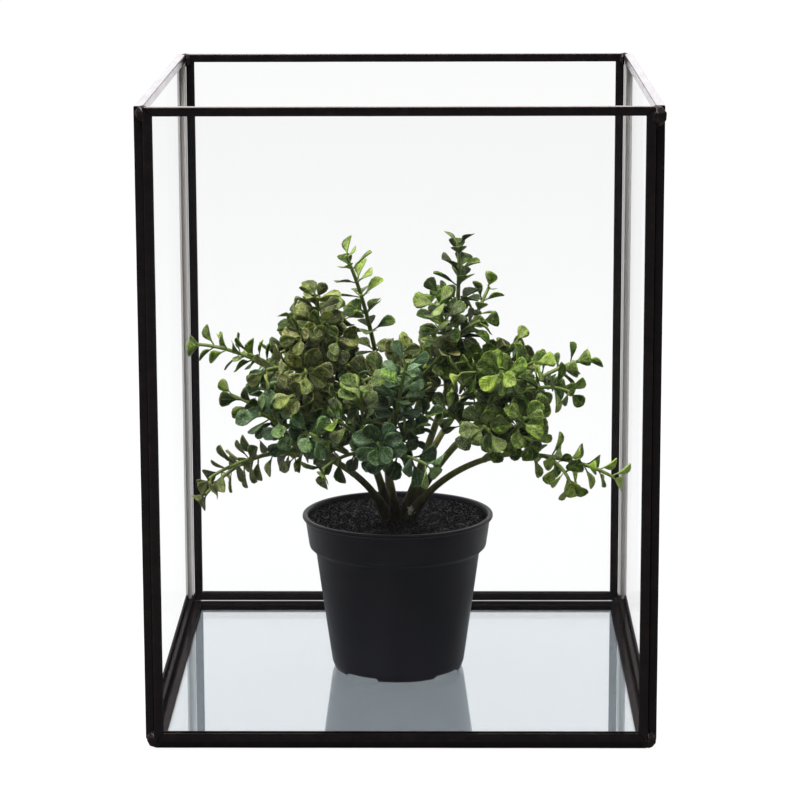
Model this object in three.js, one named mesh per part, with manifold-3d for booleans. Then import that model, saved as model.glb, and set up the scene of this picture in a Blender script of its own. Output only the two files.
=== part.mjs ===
// A glass display box, open on top, with a potted artificial boxwood bush standing in it.
// Units are millimetres and +Z is up. The origin is the middle of the box's footprint, on the table.
// The camera side of the box is -Y, and +X is to the right.

import * as THREE from 'three';
import { mergeVertices } from 'three/addons/utils/BufferGeometryUtils.js';
import Module from 'manifold-3d';

const wasm = await Module();
wasm.setup();

// ---------------------------------------------------------------- driving dimensions

// the glass box, over its metal channels
const BOX_WIDTH = 250;
const BOX_DEPTH = 265;
const BOX_HEIGHT = 315;

// one U-channel, which grips the edge of a pane: over both flanges, from its back to its lips, and its wall
const CHANNEL_THICK = 4.5;
const CHANNEL_REACH = 4;
const CHANNEL_WALL = 1.1;
const CHANNEL_CHAMFER = 0.4;
const MITRE_GAP = 0.2;
const GLASS_THICK = 2;
const GLASS_SLACK = 0.2;

// framed panes stand this far apart, held together only by the solder in their corners
const PANE_GAP = 0.4;
const SOLDER_GAP = 0.3;
const SOLDER_CAP = 1.6;
const SOLDER_OUT = 0.8;
const SOLDER_ROUND = 7;
const SOLDER_RINGS = 5;

// the nursery pot, from the top of the base pane to its rim
const POT_X = -3;
const POT_Y = 5;
const POT_HEIGHT = 83;
const POT_RIM_RADIUS = 50;
const POT_COLLAR_RADIUS = 46.6;
const POT_COLLAR_HEIGHT = 16;
const POT_STEP_HEIGHT = 4.5;
const POT_SHOULDER_RADIUS = 43;
const POT_HEEL_RADIUS = 35;
const POT_HEEL_HEIGHT = 5.5;
const POT_FOOT_RADIUS = 33.5;
const POT_FOOT_WIDTH = 3;
const POT_FOOT_HEIGHT = 1.8;
const POT_WALL = 1.5;
const POT_LIP = 1.2;
const POT_LIP_HEIGHT = 1.6;
const POT_ROUND = 0.6;
const POT_FLOOR_ROUND = 3;
const POT_SIDES = 28;
const FOOT_TABS = 4;
const FOOT_TAB_TURN = 8.5;
const FOOT_NOTCH_WIDTH = 20;

// the soil plug, with the plain hole that the stems stand in
const SOIL_BELOW_RIM = 2.5;
const SOIL_GAP = 0.4;
const SOIL_RELIEF = 0.5;
const SOIL_RINGS = 4;
const HOLE_RADIUS = 10.5;
const HOLE_DEPTH = 16;

// the bush
const STEM_SIDES = 5;
const STEM_STEP = 16;
const TWIG_SIDES = 4;
const TWIG_STEP = 13;
const TWIG_ROOT_RADIUS = 1.3;
const TWIG_TIP_RADIUS = 0.85;
const TWIG_SPRING = 0.14;
const FORK_ROOT_RADIUS = 1.05;
const FORK_BARE = 0.34;
const FORK_BOW = 3;
const JOINT_GAP = 0.3;
const WHORL_SPACING = 8.8;
const WHORL_HALF_HEIGHT = 0.45;
const WHORL_LAST_AT = 0.975;
const LEAF_KEEL = 0.5;
const LEAF_KEEL_AT = 0.64;
const LEAF_CUP = 0.2;
const LEAF_ARCH = 0.24;
const LEAF_HALF_WIDTH = 0.36;
const LEAF_LOW_ROW = { along: 0.45, width: 0.62 };
const LEAF_HIGH_ROW = { along: 0.8, width: 1 };

// how the leaves of a twig stand: their lean away from it at its root and at its tip, how much shorter the
// last ones are, and how far each of them may differ from that
const ROOT_LEAN = 1.1;
const TIP_LEAN = 0.75;
const TIP_LOSS = 0.25;
const LEAN_SPREAD = 0.35;
const TURN_SPREAD = 0.5;
const AZIMUTH_SPREAD = 0.3;
const ROLL_SPREAD = 0.9;
const SHORTEST_LEAF = 0.88;
const LENGTH_SPREAD = 0.24;

// how far leaves keep from each other, from stems, from the walls and from the pot
const LEAF_CLEARANCE = 1.9;
const STEM_CLEARANCE = 1.3;
const WALL_CLEARANCE = 1.5;
const LOWEST_LEAF = 92;
const WOOD_POINT_STEP = 2;

// ---------------------------------------------------------------- finishes

const finish = (color, roughness, metalness, extra = {}) =>
  new THREE.MeshStandardMaterial({ color, roughness, metalness, ...extra });

const glass = () => finish(0xe4ecee, 0.04, 0, { transparent: true, opacity: 0.35 });
const blackChannel = () => finish(0x1c1a1e, 0.35, 0.6);
const blackSolder = () => finish(0x211d20, 0.5, 0.5);
const blackPlastic = () => finish(0x1f1f25, 0.55, 0);
const darkSoil = () => finish(0x15141a, 0.95, 0);
const oliveStem = () => finish(0x4a4a26, 0.7, 0);
const LEAF_COLOURS = { blue: 0x4f6d60, olive: 0x62693a, fresh: 0x5f8a2e, dark: 0x2c4a2a };

const group = new THREE.Group();

// ---------------------------------------------------------------- joining and cutting

// the solid of a closed three.js geometry
function solidOf(geometry) {
  const bare = geometry.index ? geometry.clone() : geometry;
  bare.deleteAttribute('normal');
  bare.deleteAttribute('uv');
  const merged = mergeVertices(bare, 1e-5);
  return new wasm.Manifold(new wasm.Mesh({
    numProp: 3,
    vertProperties: Float32Array.from(merged.attributes.position.array),
    triVerts: Uint32Array.from(merged.index.array),
  }));
}

// the three.js geometry of a solid
function geometryOf(solid) {
  const mesh = solid.getMesh();
  const geometry = new THREE.BufferGeometry();
  const positions = new Float32Array(mesh.numVert * 3);
  for (let v = 0; v < mesh.numVert; v += 1) {
    for (let axis = 0; axis < 3; axis += 1) {
      positions[3 * v + axis] = mesh.vertProperties[mesh.numProp * v + axis];
    }
  }
  geometry.setAttribute('position', new THREE.BufferAttribute(positions, 3));
  geometry.setIndex(Array.from(mesh.triVerts));
  geometry.computeVertexNormals();
  return geometry;
}

function boxSolid(low, high) {
  const size = new THREE.Vector3().subVectors(high, low);
  const geometry = new THREE.BoxGeometry(size.x, size.y, size.z);
  geometry.translate((low.x + high.x) / 2, (low.y + high.y) / 2, (low.z + high.z) / 2);
  return solidOf(geometry);
}

// a cut can leave loose scraps beside the piece itself, and they are dropped
function withoutScraps(solid) {
  const pieces = solid.decompose();
  return pieces.reduce((largest, piece) => (piece.volume() > largest.volume() ? piece : largest));
}

function addMesh(parent, name, geometry, material) {
  const mesh = new THREE.Mesh(geometry, material);
  mesh.name = name;
  parent.add(mesh);
  return mesh;
}

// ---------------------------------------------------------------- framed panes

// A length of U-channel lying along X with its mouth to +Z and its ends mitred.
function channelGeometry(length) {
  const half = CHANNEL_THICK / 2;
  const inner = half - CHANNEL_WALL;
  const section = new THREE.Shape();
  section.moveTo(-half + CHANNEL_CHAMFER, 0);
  section.lineTo(half - CHANNEL_CHAMFER, 0);
  section.lineTo(half, CHANNEL_CHAMFER);
  section.lineTo(half, CHANNEL_REACH);
  section.lineTo(inner, CHANNEL_REACH);
  section.lineTo(inner, CHANNEL_WALL);
  section.lineTo(-inner, CHANNEL_WALL);
  section.lineTo(-inner, CHANNEL_REACH);
  section.lineTo(-half, CHANNEL_REACH);
  section.lineTo(-half, CHANNEL_CHAMFER);
  section.closePath();
  const geometry = new THREE.ExtrudeGeometry(section, { depth: 1, steps: 1, bevelEnabled: false });
  const position = geometry.attributes.position;
  for (let v = 0; v < position.count; v += 1) {
    const across = position.getX(v);
    const inward = position.getY(v);
    const end = position.getZ(v) < 0.5 ? -1 : 1;
    position.setXYZ(v, end * (length / 2 - inward - MITRE_GAP), across, inward);
  }
  geometry.computeVertexNormals();
  return geometry;
}

// A pane standing in the XZ plane about its own centre, with a channel along each of its four edges. edges
// names them in the order of the pane's lowest, -X, highest and +X edge.
function framedPane(name, width, height, edges) {
  const pane = new THREE.Group();
  const bite = CHANNEL_WALL + GLASS_SLACK;
  const sheet = new THREE.BoxGeometry(width - 2 * bite, GLASS_THICK, height - 2 * bite);
  addMesh(pane, `${name}_glass`, sheet, glass());
  edges.forEach((edge, turn) => {
    const [along, across] = turn % 2 === 0 ? [width, height] : [height, width];
    const strip = addMesh(pane, `${name}_channel_${edge}`, channelGeometry(along), blackChannel());
    strip.rotation.y = turn * Math.PI / 2;
    strip.position.set(-Math.sin(strip.rotation.y) * across / 2, 0, -Math.cos(strip.rotation.y) * across / 2);
  });
  group.add(pane);
  return pane;
}

// the panes meet at their inner corners, so a square notch runs down each outer edge of the box
const SETBACK = CHANNEL_THICK + PANE_GAP;
const INNER_WIDTH = BOX_WIDTH - 2 * SETBACK;
const INNER_DEPTH = BOX_DEPTH - 2 * SETBACK;
const WALL_HEIGHT = BOX_HEIGHT - SETBACK;
const WALL_MIDDLE = SETBACK + WALL_HEIGHT / 2;
const FLOOR_TOP = (CHANNEL_THICK + GLASS_THICK) / 2;

for (const [name, side] of [['front', -1], ['back', 1]]) {
  const pane = framedPane(name, INNER_WIDTH, WALL_HEIGHT, ['bottom', 'left', 'top', 'right']);
  pane.position.set(0, side * (BOX_DEPTH - CHANNEL_THICK) / 2, WALL_MIDDLE);
}

for (const [name, side] of [['left', -1], ['right', 1]]) {
  const pane = framedPane(name, INNER_DEPTH, WALL_HEIGHT, ['bottom', 'front', 'top', 'back']);
  pane.position.set(side * (BOX_WIDTH - CHANNEL_THICK) / 2, 0, WALL_MIDDLE);
  pane.rotation.z = Math.PI / 2;
}

const basePane = framedPane('base', INNER_WIDTH, INNER_DEPTH, ['front', 'left', 'back', 'right']);
basePane.position.set(0, 0, CHANNEL_THICK / 2);
basePane.rotation.x = -Math.PI / 2;

// ---------------------------------------------------------------- solder

// A block of the space that a framed pane or the base takes up in one corner of the box, given by its
// nearest and furthest distances from the middle of the box.
function cornerBlock(sideX, sideY, nearX, farX, nearY, farY, bottom, top) {
  const low = new THREE.Vector3(
    Math.min(sideX * nearX, sideX * farX),
    Math.min(sideY * nearY, sideY * farY),
    bottom,
  );
  const high = new THREE.Vector3(
    Math.max(sideX * nearX, sideX * farX),
    Math.max(sideY * nearY, sideY * farY),
    top,
  );
  return boxSolid(low, high);
}

// A lump of solder in one corner of the box, cut back from the channels that it joins.
function solderLump(sideX, sideY, isTop, size) {
  const lump = new THREE.SphereGeometry(1, SOLDER_ROUND, SOLDER_RINGS);
  lump.rotateX(Math.PI / 2);
  const position = lump.attributes.position;
  for (let v = 0; v < position.count; v += 1) {
    const x = position.getX(v);
    const y = position.getY(v);
    const z = position.getZ(v);
    const swell = size * (1 + 0.1 * Math.sin(5 * x + 3 * sideX) * Math.cos(4 * y - sideY + 2 * z));
    position.setXYZ(v, x * swell, y * swell, z * swell);
  }
  const level = isTop ? BOX_HEIGHT + SOLDER_CAP - size : SETBACK;
  lump.translate(sideX * (INNER_WIDTH / 2 + SOLDER_OUT), sideY * (INNER_DEPTH / 2 + SOLDER_OUT), level);

  const outerX = BOX_WIDTH / 2 + SOLDER_GAP;
  const outerY = BOX_DEPTH / 2 + SOLDER_GAP;
  const innerX = INNER_WIDTH / 2 + SOLDER_GAP;
  const innerY = INNER_DEPTH / 2 + SOLDER_GAP;
  const paneX = BOX_WIDTH / 2 - CHANNEL_THICK - SOLDER_GAP;
  const paneY = BOX_DEPTH / 2 - CHANNEL_THICK - SOLDER_GAP;
  const wallBottom = SETBACK - SOLDER_GAP;
  const wallTop = BOX_HEIGHT + SOLDER_GAP;
  const blocks = [
    cornerBlock(sideX, sideY, 0, innerX, paneY, outerY, wallBottom, wallTop),
    cornerBlock(sideX, sideY, paneX, outerX, 0, innerY, wallBottom, wallTop),
  ];
  if (!isTop) {
    // nothing of it stands inside the box, in the base's channels or below the table
    blocks.push(cornerBlock(sideX, sideY, 0, innerX, 0, innerY, 0, wallTop));
    blocks.push(cornerBlock(sideX, sideY, 0, BOX_WIDTH, 0, BOX_DEPTH, -BOX_HEIGHT, 0));
  }
  const cut = blocks.reduce((solid, block) => solid.subtract(block), solidOf(lump));
  return geometryOf(withoutScraps(cut));
}

const SOLDER_SIZES = {
  top: { front: { left: 4.8, right: 6.2 }, back: { left: 4.4, right: 4.2 } },
  bottom: { front: { left: 5, right: 5.2 }, back: { left: 4.8, right: 4.8 } },
};

for (const level of ['top', 'bottom']) {
  for (const [face, sideY] of [['front', -1], ['back', 1]]) {
    for (const [hand, sideX] of [['left', -1], ['right', 1]]) {
      const size = SOLDER_SIZES[level][face][hand];
      const lump = solderLump(sideX, sideY, level === 'top', size);
      addMesh(group, `solder_${level}_${face}_${hand}`, lump, blackSolder());
    }
  }
}

// ---------------------------------------------------------------- nursery pot

// The pot is one moulded cup: a tapering wall, a deep collar, a rolled lip and a low foot cut into four tabs.
function potGeometry() {
  const collarFoot = POT_HEIGHT - POT_COLLAR_HEIGHT;
  const shoulder = collarFoot - POT_STEP_HEIGHT;
  const floorTop = POT_FOOT_HEIGHT + POT_WALL;
  const footInside = POT_FOOT_RADIUS - POT_FOOT_WIDTH;
  const rimInside = POT_RIM_RADIUS - POT_LIP - POT_WALL;
  const outline = [
    [0, POT_FOOT_HEIGHT],
    [footInside, POT_FOOT_HEIGHT],
    [footInside, 0],
    [POT_FOOT_RADIUS - POT_ROUND, 0],
    [POT_FOOT_RADIUS, POT_ROUND],
    [POT_HEEL_RADIUS - POT_ROUND, POT_HEEL_HEIGHT / 2],
    [POT_HEEL_RADIUS, POT_HEEL_HEIGHT],
    [POT_SHOULDER_RADIUS, shoulder],
    [POT_COLLAR_RADIUS - POT_ROUND, collarFoot - POT_STEP_HEIGHT / 2],
    [POT_COLLAR_RADIUS, collarFoot],
    [POT_RIM_RADIUS - POT_LIP, POT_HEIGHT - POT_LIP_HEIGHT - POT_ROUND],
    [POT_RIM_RADIUS, POT_HEIGHT - POT_LIP_HEIGHT],
    [POT_RIM_RADIUS, POT_HEIGHT - POT_ROUND],
    [POT_RIM_RADIUS - POT_ROUND, POT_HEIGHT],
    [rimInside + POT_ROUND, POT_HEIGHT],
    [rimInside, POT_HEIGHT - POT_ROUND],
    [POT_COLLAR_RADIUS - POT_WALL, collarFoot],
    [POT_SHOULDER_RADIUS - POT_WALL, shoulder],
    [POT_HEEL_RADIUS - POT_WALL, floorTop + POT_FLOOR_ROUND],
    [POT_HEEL_RADIUS - POT_WALL - POT_FLOOR_ROUND, floorTop],
    [0, floorTop],
  ].map(([radius, height]) => new THREE.Vector2(radius, height));
  const cup = new THREE.LatheGeometry(outline, POT_SIDES);
  cup.rotateX(Math.PI / 2);
  let solid = solidOf(cup);
  for (let notch = 0; notch < FOOT_TABS; notch += 1) {
    const cutter = new THREE.BoxGeometry(POT_FOOT_RADIUS, FOOT_NOTCH_WIDTH, 2 * POT_FOOT_HEIGHT);
    cutter.translate(POT_FOOT_RADIUS, 0, 0);
    cutter.rotateZ(THREE.MathUtils.degToRad(FOOT_TAB_TURN + (360 / FOOT_TABS) * (notch + 0.5)));
    solid = solid.subtract(solidOf(cutter));
  }
  return geometryOf(solid);
}

const pottedPlant = new THREE.Group();
pottedPlant.position.set(POT_X, POT_Y, FLOOR_TOP);
group.add(pottedPlant);
addMesh(pottedPlant, 'pot', potGeometry(), blackPlastic());

// ---------------------------------------------------------------- soil

// The soil fills the pot as one plug with a lightly uneven top and a plain hole in its middle.
function soilGeometry() {
  const top = POT_HEIGHT - SOIL_BELOW_RIM;
  const collarFoot = POT_HEIGHT - POT_COLLAR_HEIGHT;
  const bottom = POT_FOOT_HEIGHT + POT_WALL + SOIL_GAP;
  const gap = POT_WALL + SOIL_GAP;
  const edge = POT_RIM_RADIUS - POT_LIP - gap - SOIL_GAP;
  const outline = [
    [0, bottom],
    [POT_HEEL_RADIUS - gap - POT_FLOOR_ROUND, bottom],
    [POT_HEEL_RADIUS - gap, bottom + POT_FLOOR_ROUND],
    [POT_SHOULDER_RADIUS - gap, collarFoot - POT_STEP_HEIGHT],
    [POT_COLLAR_RADIUS - gap, collarFoot],
  ];
  for (let ring = 0; ring <= SOIL_RINGS; ring += 1) {
    outline.push([THREE.MathUtils.lerp(edge, HOLE_RADIUS, ring / SOIL_RINGS), top]);
  }
  outline.push([HOLE_RADIUS, top - HOLE_DEPTH], [0, top - HOLE_DEPTH]);
  const plug = new THREE.LatheGeometry(outline.map((point) => new THREE.Vector2(...point)), POT_SIDES);
  plug.rotateX(Math.PI / 2);
  // the rings between its edge and its hole rise and fall in low crumbs
  const position = plug.attributes.position;
  for (let v = 0; v < position.count; v += 1) {
    const x = position.getX(v);
    const y = position.getY(v);
    const radius = Math.hypot(x, y);
    if (position.getZ(v) > top - SOIL_GAP && radius > HOLE_RADIUS + 1 && radius < edge - 1) {
      const relief = Math.sin(0.61 * x + 1.3) * Math.cos(0.53 * y) + 0.6 * Math.sin(1.7 * x - 1.1 * y);
      position.setZ(v, top + SOIL_RELIEF * relief);
    }
  }
  return geometryOf(solidOf(plug));
}

addMesh(pottedPlant, 'soil', soilGeometry(), darkSoil());

// ---------------------------------------------------------------- curves and tubes of the bush

// The bush is placed in the frame of the whole box, so that its reach can be read against the walls.
const vector = (point) => new THREE.Vector3(...point);

// Two directions square to a curve at t, which turn with it as little as they can.
function crossFrame(curve, t) {
  const chord = curve.getPoint(1).sub(curve.getPoint(0)).normalize();
  const helper = Math.abs(chord.z) > 0.8 ? new THREE.Vector3(1, 0, 0) : new THREE.Vector3(0, 0, 1);
  const along = curve.getTangent(t);
  const first = helper.addScaledVector(along, -helper.dot(along)).normalize();
  const second = new THREE.Vector3().crossVectors(along, first);
  return { along, first, second };
}

// A cylinder bent along a curve, with its own radius at each point.
function taperedTube(curve, radiusAt, sides, steps) {
  const tube = new THREE.CylinderGeometry(1, 1, 1, sides, steps);
  const position = tube.attributes.position;
  for (let v = 0; v < position.count; v += 1) {
    const t = THREE.MathUtils.clamp(position.getY(v) + 0.5, 0, 1);
    const { first, second } = crossFrame(curve, t);
    const place = curve.getPoint(t);
    const reach = Math.hypot(position.getX(v), position.getZ(v)) * radiusAt(t);
    const angle = Math.atan2(position.getX(v), position.getZ(v));
    place.addScaledVector(first, Math.cos(angle) * reach);
    place.addScaledVector(second, Math.sin(angle) * reach);
    position.setXYZ(v, place.x, place.y, place.z);
  }
  return solidOf(tube);
}

// ---------------------------------------------------------------- main stems

// Each main stem: four guide points of its curve, its radius in the soil and its radius at its end.
const STEMS = {
  low_left: { guide: [[-5.5, 4, 69], [-7, 3, 96], [-26, -8, 116], [-55, -20, 128]], root: 2.2, end: 1.5 },
  high_left: { guide: [[-5, 6.5, 69], [-8, 7, 104], [-26, 2, 138], [-40, -8, 164]], root: 2.4, end: 1.5 },
  front: { guide: [[-3.5, 2.5, 69], [-4, -1, 98], [-6, -24, 110], [-9, -42, 124]], root: 2.1, end: 1.4 },
  centre: { guide: [[-2, 6, 69], [3, 6, 104], [20, 6, 132], [27, 1, 172]], root: 2.4, end: 1.4 },
  high_right: { guide: [[-0.5, 5.5, 69], [6, 6, 104], [30, 0, 128], [52, -10, 150]], root: 2.3, end: 1.5 },
  low_right: { guide: [[-0.5, 3.5, 69], [3, 3, 98], [32, -5, 118], [58, -12, 122]], root: 2.2, end: 1.4 },
  back_left: { guide: [[-4, 8, 69], [-6, 11, 104], [-14, 26, 126], [-12, 32, 152]], root: 2.2, end: 1.4 },
  back_right: { guide: [[-1.5, 8, 69], [3, 11, 104], [20, 30, 122], [34, 42, 144]], root: 2.2, end: 1.4 },
};

for (const stem of Object.values(STEMS)) {
  stem.curve = new THREE.CubicBezierCurve3(...stem.guide.map(vector));
  stem.radiusAt = (t) => THREE.MathUtils.lerp(stem.root, stem.end, t);
  stem.steps = Math.ceil(stem.curve.getLength() / STEM_STEP);
}

// The main stems are one bundle, fused where they leave the soil. swell makes them all thicker.
function stemBundle(swell) {
  let bundle = null;
  for (const stem of Object.values(STEMS)) {
    const tube = taperedTube(stem.curve, (t) => stem.radiusAt(t) + swell, STEM_SIDES, stem.steps);
    bundle = bundle ? bundle.add(tube) : tube;
  }
  return bundle;
}

addMesh(group, 'stems', geometryOf(stemBundle(0)), oliveStem());
const swollenStems = stemBundle(JOINT_GAP);

// ---------------------------------------------------------------- leafy sprays

// Each spray: the main stem it is plugged to and how far along it, its tip, how far its twig bows upwards,
// where along it the leaves begin, their length, their colour, and the side twigs that fork off it: how far
// along the twig each one leaves it, and its tip.
const SPRAYS = {
  top_centre: { on: 'centre', at: 1, tip: [29, 0, 231], bow: 0, from: 0.12, leaf: 13, tone: 'dark' },
  top_right: { on: 'centre', at: 0.72, tip: [45, 30, 202], bow: 4, from: 0.3, leaf: 10.5, tone: 'fresh',
    forks: [{ at: 0.3, tip: [50, 6, 170] }] },
  top_left: { on: 'back_left', at: 1, tip: [-30, 24, 220], bow: 3, from: 0.18, leaf: 12.5, tone: 'fresh' },
  left_crown: { on: 'high_left', at: 1, tip: [-43, -22, 206], bow: 2, from: 0.16, leaf: 12.5, tone: 'olive',
    forks: [{ at: 0.16, tip: [-32, -38, 187] }] },
  left_shoulder: { on: 'high_left', at: 0.8, tip: [-57, 2, 192], bow: 5, from: 0.25, leaf: 11.5, tone: 'dark',
    forks: [{ at: 0.3, tip: [-54, 26, 180] }, { at: 0.3, tip: [-30, 6, 190] }] },
  far_left: { on: 'high_left', at: 0.62, tip: [-106, -4, 178], bow: 9, from: 0.28, leaf: 11, tone: 'fresh',
    forks: [{ at: 0.3, tip: [-80, -10, 174] }] },
  left_middle: { on: 'low_left', at: 0.72, tip: [-91, 18, 147], bow: 6, from: 0.25, leaf: 11, tone: 'olive',
    forks: [{ at: 0.3, tip: [-66, 34, 152] }] },
  left_front: { on: 'high_left', at: 0.9, tip: [-70, -34, 170], bow: 5, from: 0.22, leaf: 12.5, tone: 'olive',
    forks: [{ at: 0.25, tip: [-48, -50, 172] }] },
  low_left_front: { on: 'low_left', at: 1, tip: [-62, -50, 148], bow: 2, from: 0.18, leaf: 12.5, tone: 'blue',
    forks: [{ at: 0.15, tip: [-42, -64, 142] }, { at: 0.2, tip: [-72, -44, 150] }] },
  low_left: { on: 'low_left', at: 0.88, tip: [-101, -40, 106], bow: 13, from: 0.2, leaf: 11.5, tone: 'olive',
    forks: [{ at: 0.3, tip: [-98, -48, 117] }] },
  front_low: { on: 'front', at: 1, tip: [-12, -78, 142], bow: 4, from: 0.2, leaf: 13, tone: 'blue',
    forks: [{ at: 0.2, tip: [13, -66, 128] }] },
  front_high: { on: 'front', at: 0.75, tip: [3, -62, 180], bow: 4, from: 0.25, leaf: 13, tone: 'blue' },
  front_left: { on: 'front', at: 0.86, tip: [-34, -60, 150], bow: 5, from: 0.25, leaf: 12.5, tone: 'dark',
    forks: [{ at: 0.25, tip: [-40, -58, 124] }, { at: 0.35, tip: [-20, -62, 166] }] },
  middle: { on: 'back_left', at: 0.7, tip: [-1, -12, 176], bow: 5, from: 0.3, leaf: 12, tone: 'olive',
    forks: [{ at: 0.3, tip: [-20, -32, 164] }] },
  crown: { on: 'centre', at: 0.84, tip: [18, -32, 204], bow: 4, from: 0.25, leaf: 12.5, tone: 'dark',
    forks: [{ at: 0.3, tip: [40, -14, 192] }] },
  right_front: { on: 'high_right', at: 1, tip: [50, -46, 172], bow: 3, from: 0.16, leaf: 12.5, tone: 'fresh',
    forks: [{ at: 0.2, tip: [67, -32, 174] }] },
  right_low_front: { on: 'low_right', at: 0.8, tip: [62, -54, 150], bow: 3, from: 0.25, leaf: 12.5,
    tone: 'fresh', forks: [{ at: 0.35, tip: [66, -48, 136] }] },
  right_inner: { on: 'high_right', at: 0.6, tip: [44, -60, 144], bow: 6, from: 0.45, leaf: 12.5,
    tone: 'dark' },
  far_right: { on: 'high_right', at: 0.88, tip: [95, 6, 168], bow: 5, from: 0.2, leaf: 11.5, tone: 'fresh',
    forks: [{ at: 0.25, tip: [86, -20, 156] }] },
  right_top: { on: 'back_right', at: 0.75, tip: [60, 26, 174], bow: 5, from: 0.25, leaf: 11.5,
    tone: 'olive' },
  low_right: { on: 'low_right', at: 1, tip: [109, -20, 111], bow: 4, from: 0.15, leaf: 11.5, tone: 'fresh',
    forks: [{ at: 0.25, tip: [86, -36, 111] }] },
  back_left: { on: 'back_left', at: 0.82, tip: [-52, 62, 168], bow: 6, from: 0.25, leaf: 12, tone: 'dark',
    forks: [{ at: 0.25, tip: [-36, 70, 146] }] },
  back_middle: { on: 'back_right', at: 0.88, tip: [0, 84, 158], bow: 6, from: 0.25, leaf: 12, tone: 'olive',
    forks: [{ at: 0.3, tip: [24, 66, 184] }] },
  back_right: { on: 'back_right', at: 1, tip: [62, 80, 152], bow: 4, from: 0.2, leaf: 12, tone: 'blue',
    forks: [{ at: 0.25, tip: [80, 48, 146] }] },
};

const FIRST_SEED = 1000;
const SEED_STEP = 37;

// A steady stream of draws between 0 and 1, the same in every run.
function drawsFrom(seed) {
  let state = seed;
  return () => {
    state = (state * 16807) % 2147483647;
    return state / 2147483647;
  };
}

// The curve of a twig from its root, starting off along the wood that carries it.
function twigCurve(root, along, tip, bow) {
  const middle = root.clone().lerp(tip, 0.5).addScaledVector(along, root.distanceTo(tip) * TWIG_SPRING);
  middle.z += bow;
  return new THREE.QuadraticBezierCurve3(root, middle, tip);
}

// All twigs of all sprays: first every spray's own, then those that fork off them.
const twigs = [];
for (const [name, spray] of Object.entries(SPRAYS)) {
  const stem = STEMS[spray.on].curve;
  const curve = twigCurve(stem.getPoint(spray.at), stem.getTangent(spray.at), vector(spray.tip), spray.bow);
  const thick = [TWIG_ROOT_RADIUS, TWIG_TIP_RADIUS];
  spray.twigs = [{ name, curve, thick, from: spray.from, leaf: spray.leaf }];
  twigs.push(...spray.twigs);
}
for (const [name, spray] of Object.entries(SPRAYS)) {
  for (const fork of spray.forks ?? []) {
    const own = spray.twigs[0].curve;
    const curve = twigCurve(own.getPoint(fork.at), own.getTangent(fork.at), vector(fork.tip), FORK_BOW);
    const thick = [FORK_ROOT_RADIUS, TWIG_TIP_RADIUS];
    const twig = { name: `${name}_fork`, curve, thick, from: FORK_BARE, leaf: spray.leaf };
    spray.twigs.push(twig);
    twigs.push(twig);
  }
}
for (const twig of twigs) {
  twig.radiusAt = (t) => THREE.MathUtils.lerp(...twig.thick, t);
}

// Points on every stem and twig, which the leaves of other twigs keep clear of.
function woodPointsOf(owner) {
  const count = Math.ceil(owner.curve.getLength() / WOOD_POINT_STEP);
  return Array.from({ length: count + 1 }, (_, i) => (
    { owner, place: owner.curve.getPoint(i / count), radius: owner.radiusAt(i / count) }
  ));
}

const woodPoints = [...Object.values(STEMS), ...twigs].flatMap(woodPointsOf);

// The half width of a leaf at a share of its length.
function leafHalfWidth(along, length) {
  const full = length * LEAF_HALF_WIDTH;
  if (along < LEAF_HIGH_ROW.along) {
    const share = along / LEAF_LOW_ROW.along;
    return full * Math.min(LEAF_LOW_ROW.width * share, 1);
  }
  return full * (1 - along) / (1 - LEAF_HIGH_ROW.along);
}

// A point of the leaf's middle surface: along runs from root to tip, across from -1 to 1.
function leafPoint(leaf, along, across) {
  const side = across * leafHalfWidth(along, leaf.length);
  const lift = LEAF_CUP * across * side - LEAF_ARCH * leaf.length * along * along;
  return leaf.root.clone()
    .addScaledVector(leaf.axis, leaf.length * along)
    .addScaledVector(leaf.side, side)
    .addScaledVector(leaf.up, lift);
}

// Points spread over a leaf, used to keep leaves clear of each other.
function leafSamples(leaf) {
  const samples = [];
  for (const along of [0.2, 0.35, 0.5, 0.65, 0.8, 0.93]) {
    for (const across of [-1, -0.5, 0, 0.5, 1]) {
      samples.push(leafPoint(leaf, along, across));
    }
  }
  return samples;
}

const MIDDLE_SAMPLE = 12;
const placedLeaves = [];

function isClear(twig, samples, length) {
  const middle = samples[MIDDLE_SAMPLE];
  const limitX = BOX_WIDTH / 2 - CHANNEL_THICK - WALL_CLEARANCE;
  if (samples.some((point) => Math.abs(point.x) > limitX || point.z < LOWEST_LEAF)) {
    return false;
  }
  const touchesWood = woodPoints.some((wood) => (
    wood.owner !== twig
    && wood.place.distanceTo(middle) < length
    && samples.some((point) => point.distanceTo(wood.place) < wood.radius + STEM_CLEARANCE)
  ));
  if (touchesWood) {
    return false;
  }
  return !placedLeaves.some((other) => (
    other.middle.distanceTo(middle) < length + other.length
    && samples.some((point) => other.samples.some((place) => place.distanceTo(point) < LEAF_CLEARANCE))
  ));
}

// A leaf that leaves the twig at t: azimuth is its side of the twig, lean is how far it stands away from the
// twig, and roll turns it about its own length. All three are in radians.
function leafAt(twig, t, azimuth, lean, roll, length) {
  const { along, first, second } = crossFrame(twig.curve, t);
  const outward = first.clone().multiplyScalar(Math.cos(azimuth)).addScaledVector(second, Math.sin(azimuth));
  const axis = along.clone().multiplyScalar(Math.cos(lean)).addScaledVector(outward, Math.sin(lean));
  const side = new THREE.Vector3().crossVectors(along, outward).normalize().applyAxisAngle(axis, roll);
  const up = new THREE.Vector3().crossVectors(axis, side).normalize();
  const face = twig.radiusAt(t) * Math.cos(Math.PI / TWIG_SIDES);
  const root = twig.curve.getPoint(t).addScaledVector(outward, face);
  return { root, axis, side, up, length };
}

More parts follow.
